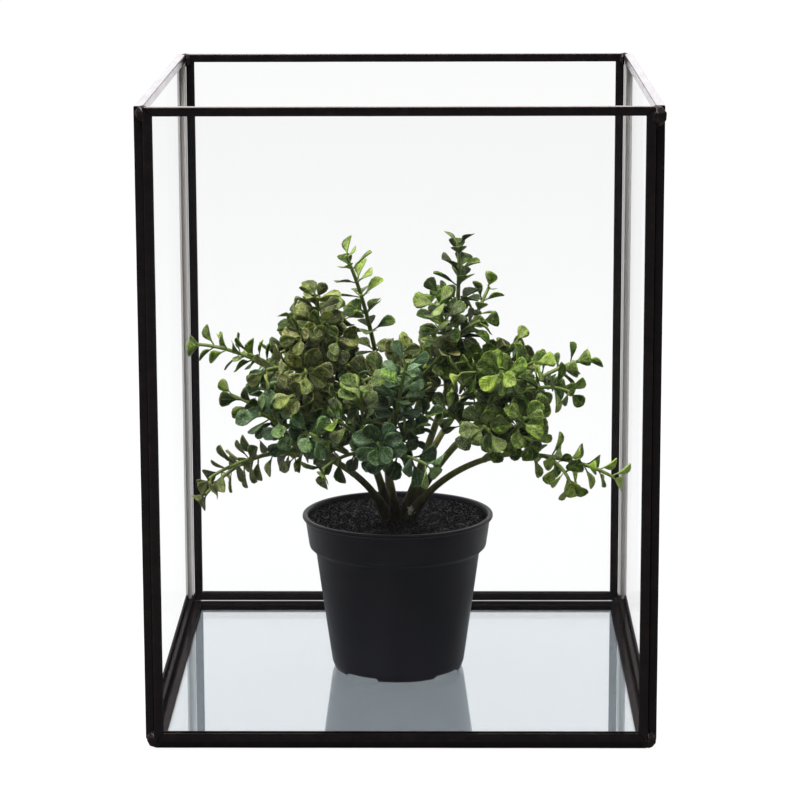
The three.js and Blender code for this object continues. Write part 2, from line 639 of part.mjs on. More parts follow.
// Turns, leans and sizes that are tried in order when a leaf would touch another.
const TRIES = [
  { turned: 0, tipped: 0, size: 1 },
  { turned: 0.3, tipped: 0, size: 1 },
  { turned: -0.3, tipped: 0, size: 1 },
  { turned: 0, tipped: -0.3, size: 1 },
  { turned: 0, tipped: 0.3, size: 1 },
  { turned: 0.25, tipped: -0.3, size: 0.85 },
  { turned: -0.25, tipped: -0.3, size: 0.85 },
  { turned: 0, tipped: -0.35, size: 0.7 },
];

// The whorls of a twig: four leaves round it, each on one of its flats, and null where none fits.
function whorlsOf(twig, draw) {
  const leafy = twig.curve.getLength() * (WHORL_LAST_AT - twig.from);
  const count = Math.max(2, Math.round(leafy / WHORL_SPACING) + 1);
  const spread = (range) => (draw() - 0.5) * range;
  let turn = draw() * Math.PI;
  const whorls = [];
  for (let whorl = 0; whorl < count; whorl += 1) {
    const share = whorl / (count - 1);
    const t = THREE.MathUtils.lerp(twig.from, WHORL_LAST_AT, share);
    turn += Math.PI / 4 + spread(TURN_SPREAD);
    const leaves = [];
    for (let flat = 0; flat < TWIG_SIDES; flat += 1) {
      const azimuth = turn + flat * Math.PI / 2 + spread(AZIMUTH_SPREAD);
      const lean = THREE.MathUtils.lerp(ROOT_LEAN, TIP_LEAN, share) + spread(LEAN_SPREAD);
      const roll = spread(ROLL_SPREAD);
      const full = twig.leaf * (1 - TIP_LOSS * share * share);
      const length = full * (SHORTEST_LEAF + LENGTH_SPREAD * draw());
      const fitting = TRIES
        .map(({ turned, tipped, size }) => (
          leafAt(twig, t, azimuth + turned, lean + tipped, roll, length * size)
        ))
        .find((leaf) => isClear(twig, leafSamples(leaf), leaf.length));
      if (fitting) {
        const samples = leafSamples(fitting);
        placedLeaves.push({ middle: samples[MIDDLE_SAMPLE], samples, length: fitting.length });
      }
      leaves.push(fitting ?? null);
    }
    whorls.push({ t, turn, leaves });
  }
  return whorls;
}

// The four corners of the square twig at t, turned so that corner and next corner hold a flat between them.
function twigRing(twig, t, turn) {
  const { first, second } = crossFrame(twig.curve, t);
  return Array.from({ length: TWIG_SIDES }, (_, corner) => {
    const angle = turn + (corner - 0.5) * (2 * Math.PI / TWIG_SIDES);
    return twig.curve.getPoint(t)
      .addScaledVector(first, Math.cos(angle) * twig.radiusAt(t))
      .addScaledVector(second, Math.sin(angle) * twig.radiusAt(t));
  });
}

// A solid blade grown from one flat of the twig, between two rings. It is flat across its upper side, arched
// along its length and thickest at the keel beneath it. Corners a and b lie to either side of it.
function bladeFaces(leaf, lowerA, lowerB, upperA, upperB) {
  const at = (row, across) => leafPoint(leaf, row.along, across);
  const lowA = at(LEAF_LOW_ROW, -1);
  const lowB = at(LEAF_LOW_ROW, 1);
  const highA = at(LEAF_HIGH_ROW, -1);
  const highB = at(LEAF_HIGH_ROW, 1);
  const tip = leafPoint(leaf, 1, 0);
  const keel = leafPoint(leaf, LEAF_KEEL_AT, 0).addScaledVector(leaf.up, -LEAF_KEEL);
  return [
    [upperA, lowA, lowB],
    [upperA, lowB, upperB],
    [lowA, highA, highB],
    [lowA, highB, lowB],
    [highA, tip, highB],
    [highA, lowA, keel],
    [tip, highA, keel],
    [highB, tip, keel],
    [lowB, highB, keel],
    [lowA, upperA, lowerA],
    [keel, lowA, lowerA],
    [keel, lowerA, lowerB],
    [keel, lowerB, lowB],
    [lowB, lowerB, upperB],
  ];
}

// A twig and its leaves as one closed surface: square from ring to ring, with a blade in place of a flat
// where a leaf grows.
function leafyTwig(twig, whorls) {
  const length = twig.curve.getLength();
  const bare = Math.max(1, Math.ceil(length * twig.from / TWIG_STEP));
  const half = WHORL_HALF_HEIGHT / length;
  const rings = [];
  for (let step = 0; step < bare; step += 1) {
    rings.push({ ring: twigRing(twig, twig.from * step / bare, whorls[0].turn), leaves: null });
  }
  for (const { t, turn, leaves } of whorls) {
    rings.push({ ring: twigRing(twig, t - half, turn), leaves });
    rings.push({ ring: twigRing(twig, t + half, turn), leaves: null });
  }
  rings.push({ ring: twigRing(twig, 1, whorls.at(-1).turn), leaves: null });

  const [c0, c1, c2, c3] = rings[0].ring;
  const [d0, d1, d2, d3] = rings.at(-1).ring;
  const faces = [[c0, c3, c2], [c0, c2, c1], [d0, d1, d2], [d0, d2, d3]];
  rings.slice(1).forEach(({ ring: upper }, i) => {
    const { ring: lower, leaves } = rings[i];
    for (let flat = 0; flat < TWIG_SIDES; flat += 1) {
      const next = (flat + 1) % TWIG_SIDES;
      if (leaves?.[flat]) {
        faces.push(...bladeFaces(leaves[flat], lower[flat], lower[next], upper[flat], upper[next]));
      } else {
        faces.push([lower[flat], lower[next], upper[next]], [lower[flat], upper[next], upper[flat]]);
      }
    }
  });
  return solidOf(new THREE.BufferGeometry().setFromPoints(faces.flat()));
}

twigs.forEach((twig, index) => {
  twig.solid = leafyTwig(twig, whorlsOf(twig, drawsFrom(FIRST_SEED + SEED_STEP * index)));
});

for (const [name, spray] of Object.entries(SPRAYS)) {
  const grown = spray.twigs.map((twig) => twig.solid).reduce((whole, solid) => whole.add(solid));
  const solid = withoutScraps(grown.subtract(swollenStems));
  addMesh(group, `spray_${name}`, geometryOf(solid), finish(LEAF_COLOURS[spray.tone], 0.6, 0));
}

export default group;
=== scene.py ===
# The looks of a glass display box with a potted artificial boxwood bush standing in it.
import math

import bmesh
import bpy
import numpy as np
from mathutils import Matrix, Vector


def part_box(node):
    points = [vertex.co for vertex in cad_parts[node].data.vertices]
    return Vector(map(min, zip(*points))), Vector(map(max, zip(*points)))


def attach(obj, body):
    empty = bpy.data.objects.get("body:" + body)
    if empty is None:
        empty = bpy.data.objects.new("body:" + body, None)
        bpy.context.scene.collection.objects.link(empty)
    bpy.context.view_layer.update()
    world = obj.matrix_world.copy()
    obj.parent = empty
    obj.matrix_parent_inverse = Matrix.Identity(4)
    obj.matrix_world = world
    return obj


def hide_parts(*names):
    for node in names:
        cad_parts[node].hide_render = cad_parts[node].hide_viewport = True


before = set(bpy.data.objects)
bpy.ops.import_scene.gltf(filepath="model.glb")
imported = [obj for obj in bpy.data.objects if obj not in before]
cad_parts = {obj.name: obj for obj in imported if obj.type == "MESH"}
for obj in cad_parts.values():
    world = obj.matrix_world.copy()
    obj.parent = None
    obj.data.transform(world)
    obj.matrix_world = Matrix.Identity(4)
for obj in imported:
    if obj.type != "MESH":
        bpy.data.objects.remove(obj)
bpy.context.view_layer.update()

# ------------------------------------------------------------------ camera
# The box is seen from straight in front and a little above, from about a metre and a half away,
# through a long lens.
CAMERA_PLACE = Vector((0.0183, -1.5974, 0.4794))
CAMERA_YAW = math.radians(0.712)
CAMERA_PITCH = math.radians(11.728)
CAMERA_ROLL = math.radians(0.167)
CAMERA_LENS_MM = 141.14
CAMERA_SENSOR_MM = 36

look = Vector((
    -math.sin(CAMERA_YAW) * math.cos(CAMERA_PITCH),
    math.cos(CAMERA_YAW) * math.cos(CAMERA_PITCH),
    -math.sin(CAMERA_PITCH),
))
level_right = Vector((math.cos(CAMERA_YAW), math.sin(CAMERA_YAW), 0))
level_up = level_right.cross(look)
camera_right = level_right * math.cos(CAMERA_ROLL) - level_up * math.sin(CAMERA_ROLL)
camera_up = level_right * math.sin(CAMERA_ROLL) + level_up * math.cos(CAMERA_ROLL)
camera_turn = Matrix((camera_right, camera_up, -look)).transposed().to_4x4()
camera_turn.translation = CAMERA_PLACE
camera_data = bpy.data.cameras.new("camera")
camera_data.lens = CAMERA_LENS_MM
camera_data.sensor_width = CAMERA_SENSOR_MM
camera = bpy.data.objects.new("camera", camera_data)
camera.matrix_world = camera_turn
bpy.context.scene.collection.objects.link(camera)
bpy.context.scene.camera = camera

# ------------------------------------------------------------------ floor and light
# A white table top that runs on out of sight and glows, in a room that is brightest behind the
# box and dark behind the camera, with a soft lamp above the box and a weaker one to the front.
FLOOR_HALF = 12
FLOOR_WHITE = (0.10, 0.10, 0.10, 1)
FLOOR_GLOW_SEEN = 0.945
FLOOR_GLOW_NEAR = 0.22
FLOOR_GLOW_FAR = 0.95
FLOOR_GLOW_RUN = (-0.1, 0.3)
ROOM_BRIGHT = 1.75
ROOM_DARK = 0.07
ROOM_RUN = (-0.1, 0.8)
ROOM_LIT_SIDE = (0, 0.75, 0.35)
LAMP_AIM = Vector((0, 0, 0.12))
LAMPS = {
    "overhead_lamp": {"place": (-0.35, -0.6, 2.1), "size": 1.0, "power": 72},
    "front_lamp": {"place": (-1.3, -2.2, 1.7), "size": 1.4, "power": 9},
}


def add_node(tree, kind, sockets=None, **settings):
    """A node with these settings, whose sockets take a plain value or another node's output."""
    made = tree.nodes.new(kind)
    for key, value in settings.items():
        setattr(made, key, value)
    for key, value in (sockets or {}).items():
        if isinstance(value, bpy.types.NodeSocket):
            tree.links.new(value, made.inputs[key])
        else:
            made.inputs[key].default_value = value
    return made


def new_material(name):
    """An empty node material, and its tree."""
    material = bpy.data.materials.new(name)
    material.use_nodes = True
    material.node_tree.nodes.clear()
    return material, material.node_tree


def finish_material(tree, shader, height=None, depth=0.0):
    """Ends a material in its shader, with a bump from height where it has one."""
    if height is not None:
        bump = add_node(tree, "ShaderNodeBump", {"Height": height, "Distance": depth})
        tree.links.new(bump.outputs["Normal"], shader.inputs["Normal"])
    add_node(tree, "ShaderNodeOutputMaterial", {"Surface": shader.outputs[0]})


def noise(tree, scale, detail=3.0, roughness=0.5, stretch=(1, 1, 1)):
    """The value of a noise on the piece's own coordinates, with scale in cells per metre."""
    place = add_node(tree, "ShaderNodeTexCoord").outputs["Object"]
    mapped = add_node(tree, "ShaderNodeMapping", {"Vector": place, "Scale": stretch})
    made = add_node(tree, "ShaderNodeTexNoise", {
        "Vector": mapped.outputs["Vector"], "Scale": scale, "Detail": detail, "Roughness": roughness,
    })
    return made.outputs["Fac"]


def spread(tree, value, low, high, start=0.3, end=0.7):
    """A number that goes from low to high as value goes from start to end."""
    made = add_node(tree, "ShaderNodeMapRange", {
        "Value": value, "From Min": start, "From Max": end, "To Min": low, "To Max": high,
    })
    return made.outputs["Result"]


def part_of(tree, vector, axis):
    """One of a vector's three numbers."""
    return add_node(tree, "ShaderNodeSeparateXYZ", {"Vector": vector}).outputs[axis]


def link_object(name, mesh):
    """A new object of this mesh, in the scene."""
    made = bpy.data.objects.new(name, mesh)
    bpy.context.scene.collection.objects.link(made)
    return made


floor_mesh = bpy.data.meshes.new("table_top")
floor_mesh.from_pydata(
    [(x * FLOOR_HALF, y * FLOOR_HALF, 0) for x, y in ((-1, -1), (1, -1), (1, 1), (-1, 1))],
    [], [(0, 1, 2, 3)],
)
floor = link_object("table_top", floor_mesh)
floor_white, tree = new_material("white_table")
seen = add_node(tree, "ShaderNodeLightPath").outputs["Is Camera Ray"]
depth = part_of(tree, add_node(tree, "ShaderNodeTexCoord").outputs["Object"], "Y")
cast = spread(tree, depth, FLOOR_GLOW_NEAR, FLOOR_GLOW_FAR, *FLOOR_GLOW_RUN)
shader = add_node(tree, "ShaderNodeBsdfPrincipled", {
    "Base Color": FLOOR_WHITE, "Roughness": 0.7, "Specular IOR Level": 0.0,
    "Emission Color": (1, 1, 1, 1),
    "Emission Strength": add_node(tree, "ShaderNodeMix", {
        "Factor": seen, 2: cast, 3: FLOOR_GLOW_SEEN,
    }, data_type="FLOAT").outputs[0],
})
finish_material(tree, shader, noise(tree, 900), 0.00002)
floor_mesh.materials.append(floor_white)

world = bpy.data.worlds.new("white_room")
world.use_nodes = True
tree = world.node_tree
tree.nodes.clear()
toward = add_node(tree, "ShaderNodeTexCoord").outputs["Generated"]
lit_side = add_node(tree, "ShaderNodeVectorMath", {0: toward, 1: ROOM_LIT_SIDE}, operation="DOT_PRODUCT")
room = spread(tree, lit_side.outputs["Value"], ROOM_DARK, ROOM_BRIGHT, *ROOM_RUN)
straight = add_node(tree, "ShaderNodeLightPath").outputs["Is Camera Ray"]
strength = add_node(tree, "ShaderNodeMix", {"Factor": straight, 2: room, 3: 1.0}, data_type="FLOAT")
background = add_node(tree, "ShaderNodeBackground", {"Strength": strength.outputs[0]})
add_node(tree, "ShaderNodeOutputWorld", {"Surface": background.outputs[0]})
bpy.context.scene.world = world
bpy.context.scene.view_settings.view_transform = "Standard"

for name, lamp in LAMPS.items():
    data = bpy.data.lights.new(name, "AREA")
    data.size = lamp["size"]
    data.energy = lamp["power"]
    made = bpy.data.objects.new(name, data)
    made.location = lamp["place"]
    aim = LAMP_AIM - Vector(lamp["place"])
    made.rotation_euler = aim.to_track_quat("-Z", "Y").to_euler()
    bpy.context.scene.collection.objects.link(made)

# ------------------------------------------------------------------ panes
# Five sheets of clear float glass, cut square and slipped into their channels: four walls and the
# base, with faint wipe marks on them. The base lets through much less than clear glass: partly a
# bluish tint, partly painted shade standing in for the shade that falls under the box.
PANES = ("front", "back", "left", "right", "base")
WIPED_ROUGHNESS = 0.035
GLASS = {
    "wall": {
        "passes": (0.975, 0.976, 0.977, 1), "mirror": (0.95, 0.95, 0.96, 1), "face_on": 0.006, "rise": 45.0,
    },
    # the base's passes colour is partly a bluish tint and partly painted shade from under the box
    "base": {
        "passes": (0.69, 0.735, 0.765, 1), "mirror": (0.99, 0.99, 0.99, 1), "face_on": 0.04, "rise": 3.05,
    },
}


def calc(tree, operation, *values, **settings):
    """The result of a sum on numbers or other nodes' outputs."""
    sockets = dict(enumerate(values))
    return add_node(tree, "ShaderNodeMath", sockets, operation=operation, **settings).outputs[0]


def clear_glass(name, passes, mirror, face_on, rise):
    """Glass that mirrors more the flatter it is looked at, the same from both of its sides."""
    material, tree = new_material(name)
    facing = add_node(tree, "ShaderNodeLayerWeight", {"Blend": 0.5}).outputs["Facing"]
    power = calc(tree, "POWER", facing, rise)
    share = add_node(tree, "ShaderNodeMapRange", {
        "Value": power, "To Min": face_on, "To Max": 1.0,
    }).outputs["Result"]
    wiped = spread(tree, noise(tree, 60, 5, 0.6, (1, 1, 0.35)), 0.0, WIPED_ROUGHNESS, 0.45, 0.75)
    through = add_node(tree, "ShaderNodeBsdfTransparent", {"Color": passes})
    mirrored = add_node(tree, "ShaderNodeBsdfAnisotropic", {"Color": mirror, "Roughness": wiped})
    mixed = add_node(tree, "ShaderNodeMixShader", {
        0: share, 1: through.outputs[0], 2: mirrored.outputs[0],
    })
    finish_material(tree, mixed)
    return material


wall_glass = clear_glass("clear_glass", **GLASS["wall"])
base_glass = clear_glass("clear_base_glass", **GLASS["base"])
for name in PANES:
    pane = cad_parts[f"{name}_glass"]
    pane.data.materials.clear()
    pane.data.materials.append(base_glass if name == "base" else wall_glass)

# ------------------------------------------------------------------ channels
# Each pane sits in four lengths of folded metal channel, tinned and then blackened, with mitred
# ends. The tinning leaves them a little wavy, and the black has worn to brown along their edges.
MM = 0.001
CHANNEL_THICK = 4.5
CHANNEL_REACH = 4.0
CHANNEL_WALL = 1.1
CHANNEL_ROUND = 0.5
CORNER_STEPS = 4
CHANNEL_MITRE_GAP = 0.2
CHANNEL_STEP = 2.5
CHANNEL_WAVE = 0.12
WAVES_PER_METRE = 55.0
CHANNEL_SHARP = 40
CHANNEL_TINNING = 0.3
BASE_TINNING = 1.0
BACK_RAIL_TINNING = 0.38
CHANNEL_SHEEN = (0.87, 0.79, 0.78, 1)
POLISHED_SHEEN = (0.93, 0.905, 0.93, 1)
POLISHED_CORNER = 0.45
CORNER_FROM = 0.3
CORNER_TO = 0.88
POLISHED = 1.3
CHANNEL_SHEEN_RISE = 2.5
CHANNEL_SIDE_SHEEN = 0.06
CHANNEL_LEAST_SHEEN = 0.014
# wear goes from 0, black, to 1, brown, and above 1 the tin shows
BARE_TIN = (0.62, 0.60, 0.58, 1)
BARE = 3.0
LIP_WEAR = 0.4
SIDE_WEAR = 0.05
BACK_WEAR = 0.1
CORNER_LEAST_WEAR = 0.35
CORNER_MORE_WEAR = 0.65
CHANNEL_EDGES = {
    "front": {"bottom": "+Z", "left": "+X", "top": "-Z", "right": "-X"},
    "back": {"bottom": "+Z", "left": "+X", "top": "-Z", "right": "-X"},
    "left": {"bottom": "+Z", "front": "+Y", "top": "-Z", "back": "-Y"},
    "right": {"bottom": "+Z", "front": "+Y", "top": "-Z", "back": "-Y"},
    "base": {"front": "+Y", "left": "+X", "back": "-Y", "right": "-X"},
}
PANE_NORMALS = {"front": "+Y", "back": "+Y", "left": "+X", "right": "+X", "base": "+Z"}
DIRECTIONS = {
    "+X": Vector((1, 0, 0)), "-X": Vector((-1, 0, 0)), "+Y": Vector((0, 1, 0)),
    "-Y": Vector((0, -1, 0)), "+Z": Vector((0, 0, 1)), "-Z": Vector((0, 0, -1)),
}


def new_tree(name, inputs):
    """A geometry tree with these named inputs, and the node that gives them."""
    tree = bpy.data.node_groups.new(name, "GeometryNodeTree")
    tree.interface.new_socket("Geometry", in_out="INPUT", socket_type="NodeSocketGeometry")
    for label, kind in inputs.items():
        tree.interface.new_socket(label, in_out="INPUT", socket_type=f"NodeSocket{kind}")
    tree.interface.new_socket("Geometry", in_out="OUTPUT", socket_type="NodeSocketGeometry")
    return tree, add_node(tree, "NodeGroupInput").outputs


def end_tree(tree, geometry, material):
    """Ends a tree in Realize Instances and Set Material."""
    real = add_node(tree, "GeometryNodeRealizeInstances", {"Geometry": geometry})
    made = add_node(tree, "GeometryNodeSetMaterial", {
        "Geometry": real.outputs["Geometry"], "Material": material,
    })
    add_node(tree, "NodeGroupOutput", {"Geometry": made.outputs["Geometry"]})


def grow(name, base, tree, values):
    """The object whose plain mesh a tree makes of a base mesh."""
    made = link_object(name, base)
    modifier = made.modifiers.new("tree", "NODES")
    modifier.node_group = tree
    for socket in tree.interface.items_tree:
        if socket.in_out == "INPUT" and socket.name in values:
            modifier[socket.identifier] = values[socket.name]
    depsgraph = bpy.context.evaluated_depsgraph_get()
    plain = bpy.data.meshes.new_from_object(
        made.evaluated_get(depsgraph), preserve_all_data_layers=True, depsgraph=depsgraph,
    )
    made.modifiers.clear()
    made.data = plain
    plain.name = name
    return made


def outward(mesh):
    """Turns a closed mesh's faces outwards."""
    work = bmesh.new()
    work.from_mesh(mesh)
    bmesh.ops.recalc_face_normals(work, faces=work.faces)
    work.to_mesh(mesh)
    work.free()


def swept(name, base, tree, values, sharp):
    """A grown piece with smooth sides, and with corners that are sharp from this many degrees."""
    made = grow(name, base, tree, values)
    outward(made.data)
    made.data.shade_smooth()
    made.data.set_sharp_from_angle(angle=math.radians(sharp))
    return made


def ramp(tree, value, stops):
    """A colour that runs through stops, each a position and a colour, as value rises."""
    made = add_node(tree, "ShaderNodeValToRGB", {"Fac": value})
    elements = made.color_ramp.elements
    while len(elements) < len(stops):
        elements.new(0.5)
    for element, (position, colour) in zip(elements, stops):
        element.position = position
        element.color = (*colour, 1)
    return made.outputs["Color"]


def mix(tree, share, first, second):
    """A colour that goes from first to second as share goes from 0 to 1."""
    return add_node(tree, "ShaderNodeMix", {
        "Factor": share, 6: first, 7: second,
    }, data_type="RGBA").outputs[2]


def painted(tree, name):
    """What a piece's points hold under this name, read in its material."""
    return add_node(tree, "ShaderNodeAttribute", attribute_name=name).outputs["Fac"]


def blacked(tree, colour, roughness, height, depth):
    """Ends a material as blackened tin: black face on, with a pale sheen where it is looked along."""
    bump = add_node(tree, "ShaderNodeBump", {"Height": height, "Distance": depth}).outputs["Normal"]
    skin = add_node(tree, "ShaderNodeBsdfPrincipled", {
        "Base Color": colour, "Roughness": roughness, "Specular IOR Level": 0.0, "Normal": bump,
    })
    rubbed = painted(tree, "rubbed")
    polished = mix(tree, spread(tree, rubbed, 0, 1, 1.1, 1.2), CHANNEL_SHEEN, POLISHED_SHEEN)
    sheen = add_node(tree, "ShaderNodeBsdfAnisotropic", {
        "Color": polished, "Roughness": roughness, "Normal": bump,
    })
    facing = add_node(tree, "ShaderNodeLayerWeight", {"Blend": 0.5}).outputs["Facing"]
    along = calc(tree, "POWER", facing, CHANNEL_SHEEN_RISE)
    drawn = spread(tree, noise(tree, 260, 4, 0.6, (1, 0.15, 1)), 0.88, 1.0, 0.35, 0.6)
    most = calc(tree, "MULTIPLY", drawn, spread(tree, rubbed, CHANNEL_SIDE_SHEEN, 1, 0.2, 0.8))
    share = calc(tree, "MULTIPLY_ADD", along, most, CHANNEL_LEAST_SHEEN, use_clamp=True)
    finish_material(tree, add_node(tree, "ShaderNodeMixShader", {
        0: share, 1: skin.outputs[0], 2: sheen.outputs[0],
    }))


def mark_rubbed(mesh, top, rest):
    """Gives each point how bare its tin has been rubbed: top where it faces up, and rest elsewhere.

    A polished channel keeps a dark line along its corners.
    """
    normals = np.zeros(3 * len(mesh.vertices), np.float32)
    mesh.vertex_normals.foreach_get("vector", normals)
    upward = normals[2::3]
    bare = np.maximum(upward * top, rest)
    if rest > 1:
        bare[(upward > CORNER_FROM) & (upward < CORNER_TO)] = POLISHED_CORNER
    mesh.attributes.new("rubbed", "FLOAT", "POINT").data.foreach_set("value", bare)


black_channel, tree = new_material("black_channel")
patches = noise(tree, 120, 6, 0.6)
worn = painted(tree, "wear")
fleck = noise(tree, 420, 5, 0.65)
wear = calc(tree, "MULTIPLY", worn, spread(tree, fleck, 0, 0.8, 0.4, 0.6), use_clamp=True)
black = ramp(tree, patches, [
    (0.3, (0.004, 0.0035, 0.005)), (0.55, (0.007, 0.006, 0.0075)), (0.75, (0.014, 0.010, 0.010)),
])
brown = ramp(tree, fleck, [(0.3, (0.006, 0.003, 0.002)), (0.7, (0.026, 0.013, 0.008))])
colour = mix(tree, spread(tree, worn, 0, 1, 1.2, 2.0), mix(tree, wear, black, brown), BARE_TIN)
blacked(tree, colour, spread(tree, patches, 0.10, 0.24), noise(tree, 330, 4), 0.00006)


def channel_section(tinning, lips):
    """Rounded outer corners and square lips: points of the U, and how worn each one gets.

    lips is the wear of the lips and of the inside of the U.
    """
    half = CHANNEL_THICK / 2
    inner = half - CHANNEL_WALL
    points = []
    for side in (-1, 1):
        corner = []
        for step in range(CORNER_STEPS + 1):
            angle = math.pi / 2 * step / CORNER_STEPS
            across = half - CHANNEL_ROUND + CHANNEL_ROUND * math.cos(angle)
            inward = CHANNEL_ROUND - (CHANNEL_ROUND + tinning) * math.sin(angle)
            rubbed = CORNER_LEAST_WEAR + CORNER_MORE_WEAR * math.sin(2 * angle)
            corner.append((side * across, inward, rubbed))
        if side == -1:
            points += [(-half, CHANNEL_REACH, lips), (-half, CHANNEL_REACH / 2, SIDE_WEAR)]
            points += [*corner, (0, -tinning, BACK_WEAR)]
        else:
            points += [*reversed(corner), (half, CHANNEL_REACH / 2, SIDE_WEAR), (half, CHANNEL_REACH, lips)]
    points += [(inner, CHANNEL_REACH, lips), (inner, CHANNEL_WALL, lips),
               (-inner, CHANNEL_WALL, lips), (-inner, CHANNEL_REACH, lips)]
    return points


def section_mesh(tinning, lips):
    """The channel's section as a loop of edges, swollen out by tinning on its back."""
    section = channel_section(tinning, lips)
    mesh = bpy.data.meshes.new("channel_section")
    mesh.from_pydata(
        [(across * MM, -inward * MM, 0) for across, inward, _ in section],
        [(i, (i + 1) % len(section)) for i in range(len(section))], [],
    )
    worn_at = mesh.attributes.new("wear", "FLOAT", "POINT")
    worn_at.data.foreach_set("value", [wear for _, _, wear in section])
    return mesh


def lift_off_table(mesh):
    """Keeps the waves of a channel on the table from running into it."""
    for vertex in mesh.vertices:
        vertex.co.z = max(vertex.co.z, 0.0)


tree, given = new_tree("channel", {
    "Length": "Float", "Step": "Float", "Wave": "Float", "Gap": "Float", "Seed": "Float",
    "Finish": "Material",
})
half_length = calc(tree, "MULTIPLY", given["Length"], 0.5)
minus_half = calc(tree, "MULTIPLY", half_length, -1.0)
line = add_node(tree, "GeometryNodeCurvePrimitiveLine", {
    "Start": add_node(tree, "ShaderNodeCombineXYZ", {"X": minus_half}).outputs[0],
    "End": add_node(tree, "ShaderNodeCombineXYZ", {"X": half_length}).outputs[0],
})
stepped = add_node(tree, "GeometryNodeResampleCurve", {
    "Curve": line.outputs["Curve"], "Length": given["Step"],
}, mode="LENGTH")
profile = add_node(tree, "GeometryNodeMeshToCurve", {"Mesh": given["Geometry"]})
tube = add_node(tree, "GeometryNodeCurveToMesh", {
    "Curve": stepped.outputs["Curve"], "Profile Curve": profile.outputs["Curve"], "Fill Caps": True,
})
place = add_node(tree, "GeometryNodeInputPosition").outputs[0]
split = add_node(tree, "ShaderNodeSeparateXYZ", {"Vector": place})
# the mitre: each cross-section is drawn in by how far it stands from the channel's back
reach = calc(tree, "ABSOLUTE", split.outputs["Z"])
cut = calc(tree, "ADD", reach, given["Gap"])
share = calc(tree, "DIVIDE", split.outputs["X"], half_length)
shift = calc(tree, "MULTIPLY", share, cut)
back = calc(tree, "MULTIPLY", shift, -1.0)
waves = add_node(tree, "ShaderNodeTexNoise", {
    "Vector": place, "W": given["Seed"], "Scale": WAVES_PER_METRE, "Detail": 2.0,
}, noise_dimensions="4D")
centred = add_node(tree, "ShaderNodeVectorMath", {
    0: waves.outputs["Color"], 1: (0.5, 0.5, 0.5),
}, operation="SUBTRACT").outputs[0]
drift = add_node(tree, "ShaderNodeVectorMath", {
    0: centred, "Scale": given["Wave"],
}, operation="SCALE").outputs[0]
offset = add_node(tree, "ShaderNodeVectorMath", {
    0: add_node(tree, "ShaderNodeCombineXYZ", {"X": back}).outputs[0], 1: drift,
}, operation="ADD").outputs[0]
moved = add_node(tree, "GeometryNodeSetPosition", {"Geometry": tube.outputs["Mesh"], "Offset": offset})
end_tree(tree, moved.outputs["Geometry"], given["Finish"])

for number, (pane, edges) in enumerate(CHANNEL_EDGES.items()):
    for turn, (edge, mouth) in enumerate(edges.items()):
        node = f"{pane}_channel_{edge}"
        low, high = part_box(node)
        thick = DIRECTIONS[PANE_NORMALS[pane]]
        inward = DIRECTIONS[mouth]
        run = thick.cross(inward)
        length = abs((high - low).dot(run)) + 2 * CHANNEL_MITRE_GAP * MM
        place = (low + high) / 2 - inward * CHANNEL_REACH / 2 * MM
        is_side = pane in ("left", "right")
        tinning = CHANNEL_TINNING
        if pane == "base" and edge != "front":
            tinning = BASE_TINNING
        elif node == "back_channel_bottom":
            tinning = BACK_RAIL_TINNING
        lips = BARE if is_side and edge == "back" else LIP_WEAR
        strip = swept(f"{node}_metal", section_mesh(tinning, lips), tree, {
            "Length": length, "Step": CHANNEL_STEP * MM, "Wave": CHANNEL_WAVE * MM,
            "Gap": CHANNEL_MITRE_GAP * MM, "Seed": float(4 * number + turn), "Finish": black_channel,
        }, CHANNEL_SHARP)
        turned = Matrix((run, thick, inward)).transposed().to_4x4()
        turned.translation = place
        strip.data.transform(turned)
        lift_off_table(strip.data)
        is_top = edge == "top"
        mark_rubbed(strip.data, 1.0 if is_top else 0.0, POLISHED if is_side and is_top else 0.0)
        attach(strip, "root")
        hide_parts(node)

# ------------------------------------------------------------------ solder
# Where three channels meet they are tacked together with a lump of solder, dabbed on by hand and
# blackened with the rest, so each lump is different.
WELD_GAP = 1e-6
SOLDER_VOXEL = 0.35
SOLDER_SMOOTHING = 9
SOLDER_SHRINK = 0.86
SOLDER_DRAWN_IN = 0.985
SOLDER_RUBBED = 0.4


def weld(mesh, welded):
    """Puts a mesh into welded with its loose faces joined, and those without any area left out."""
    work = bmesh.new()
    work.from_mesh(mesh)
    bmesh.ops.remove_doubles(work, verts=work.verts, dist=WELD_GAP)
    work.to_mesh(welded)
    work.free()


black_solder, tree = new_material("black_solder")
patches = noise(tree, 260, 5, 0.6)
colour = ramp(tree, patches, [
    (0.3, (0.006, 0.005, 0.006)), (0.5, (0.012, 0.009, 0.009)), (0.72, (0.040, 0.025, 0.021)),
])
blacked(tree, colour, spread(tree, patches, 0.16, 0.36), noise(tree, 700, 4), 0.0001)

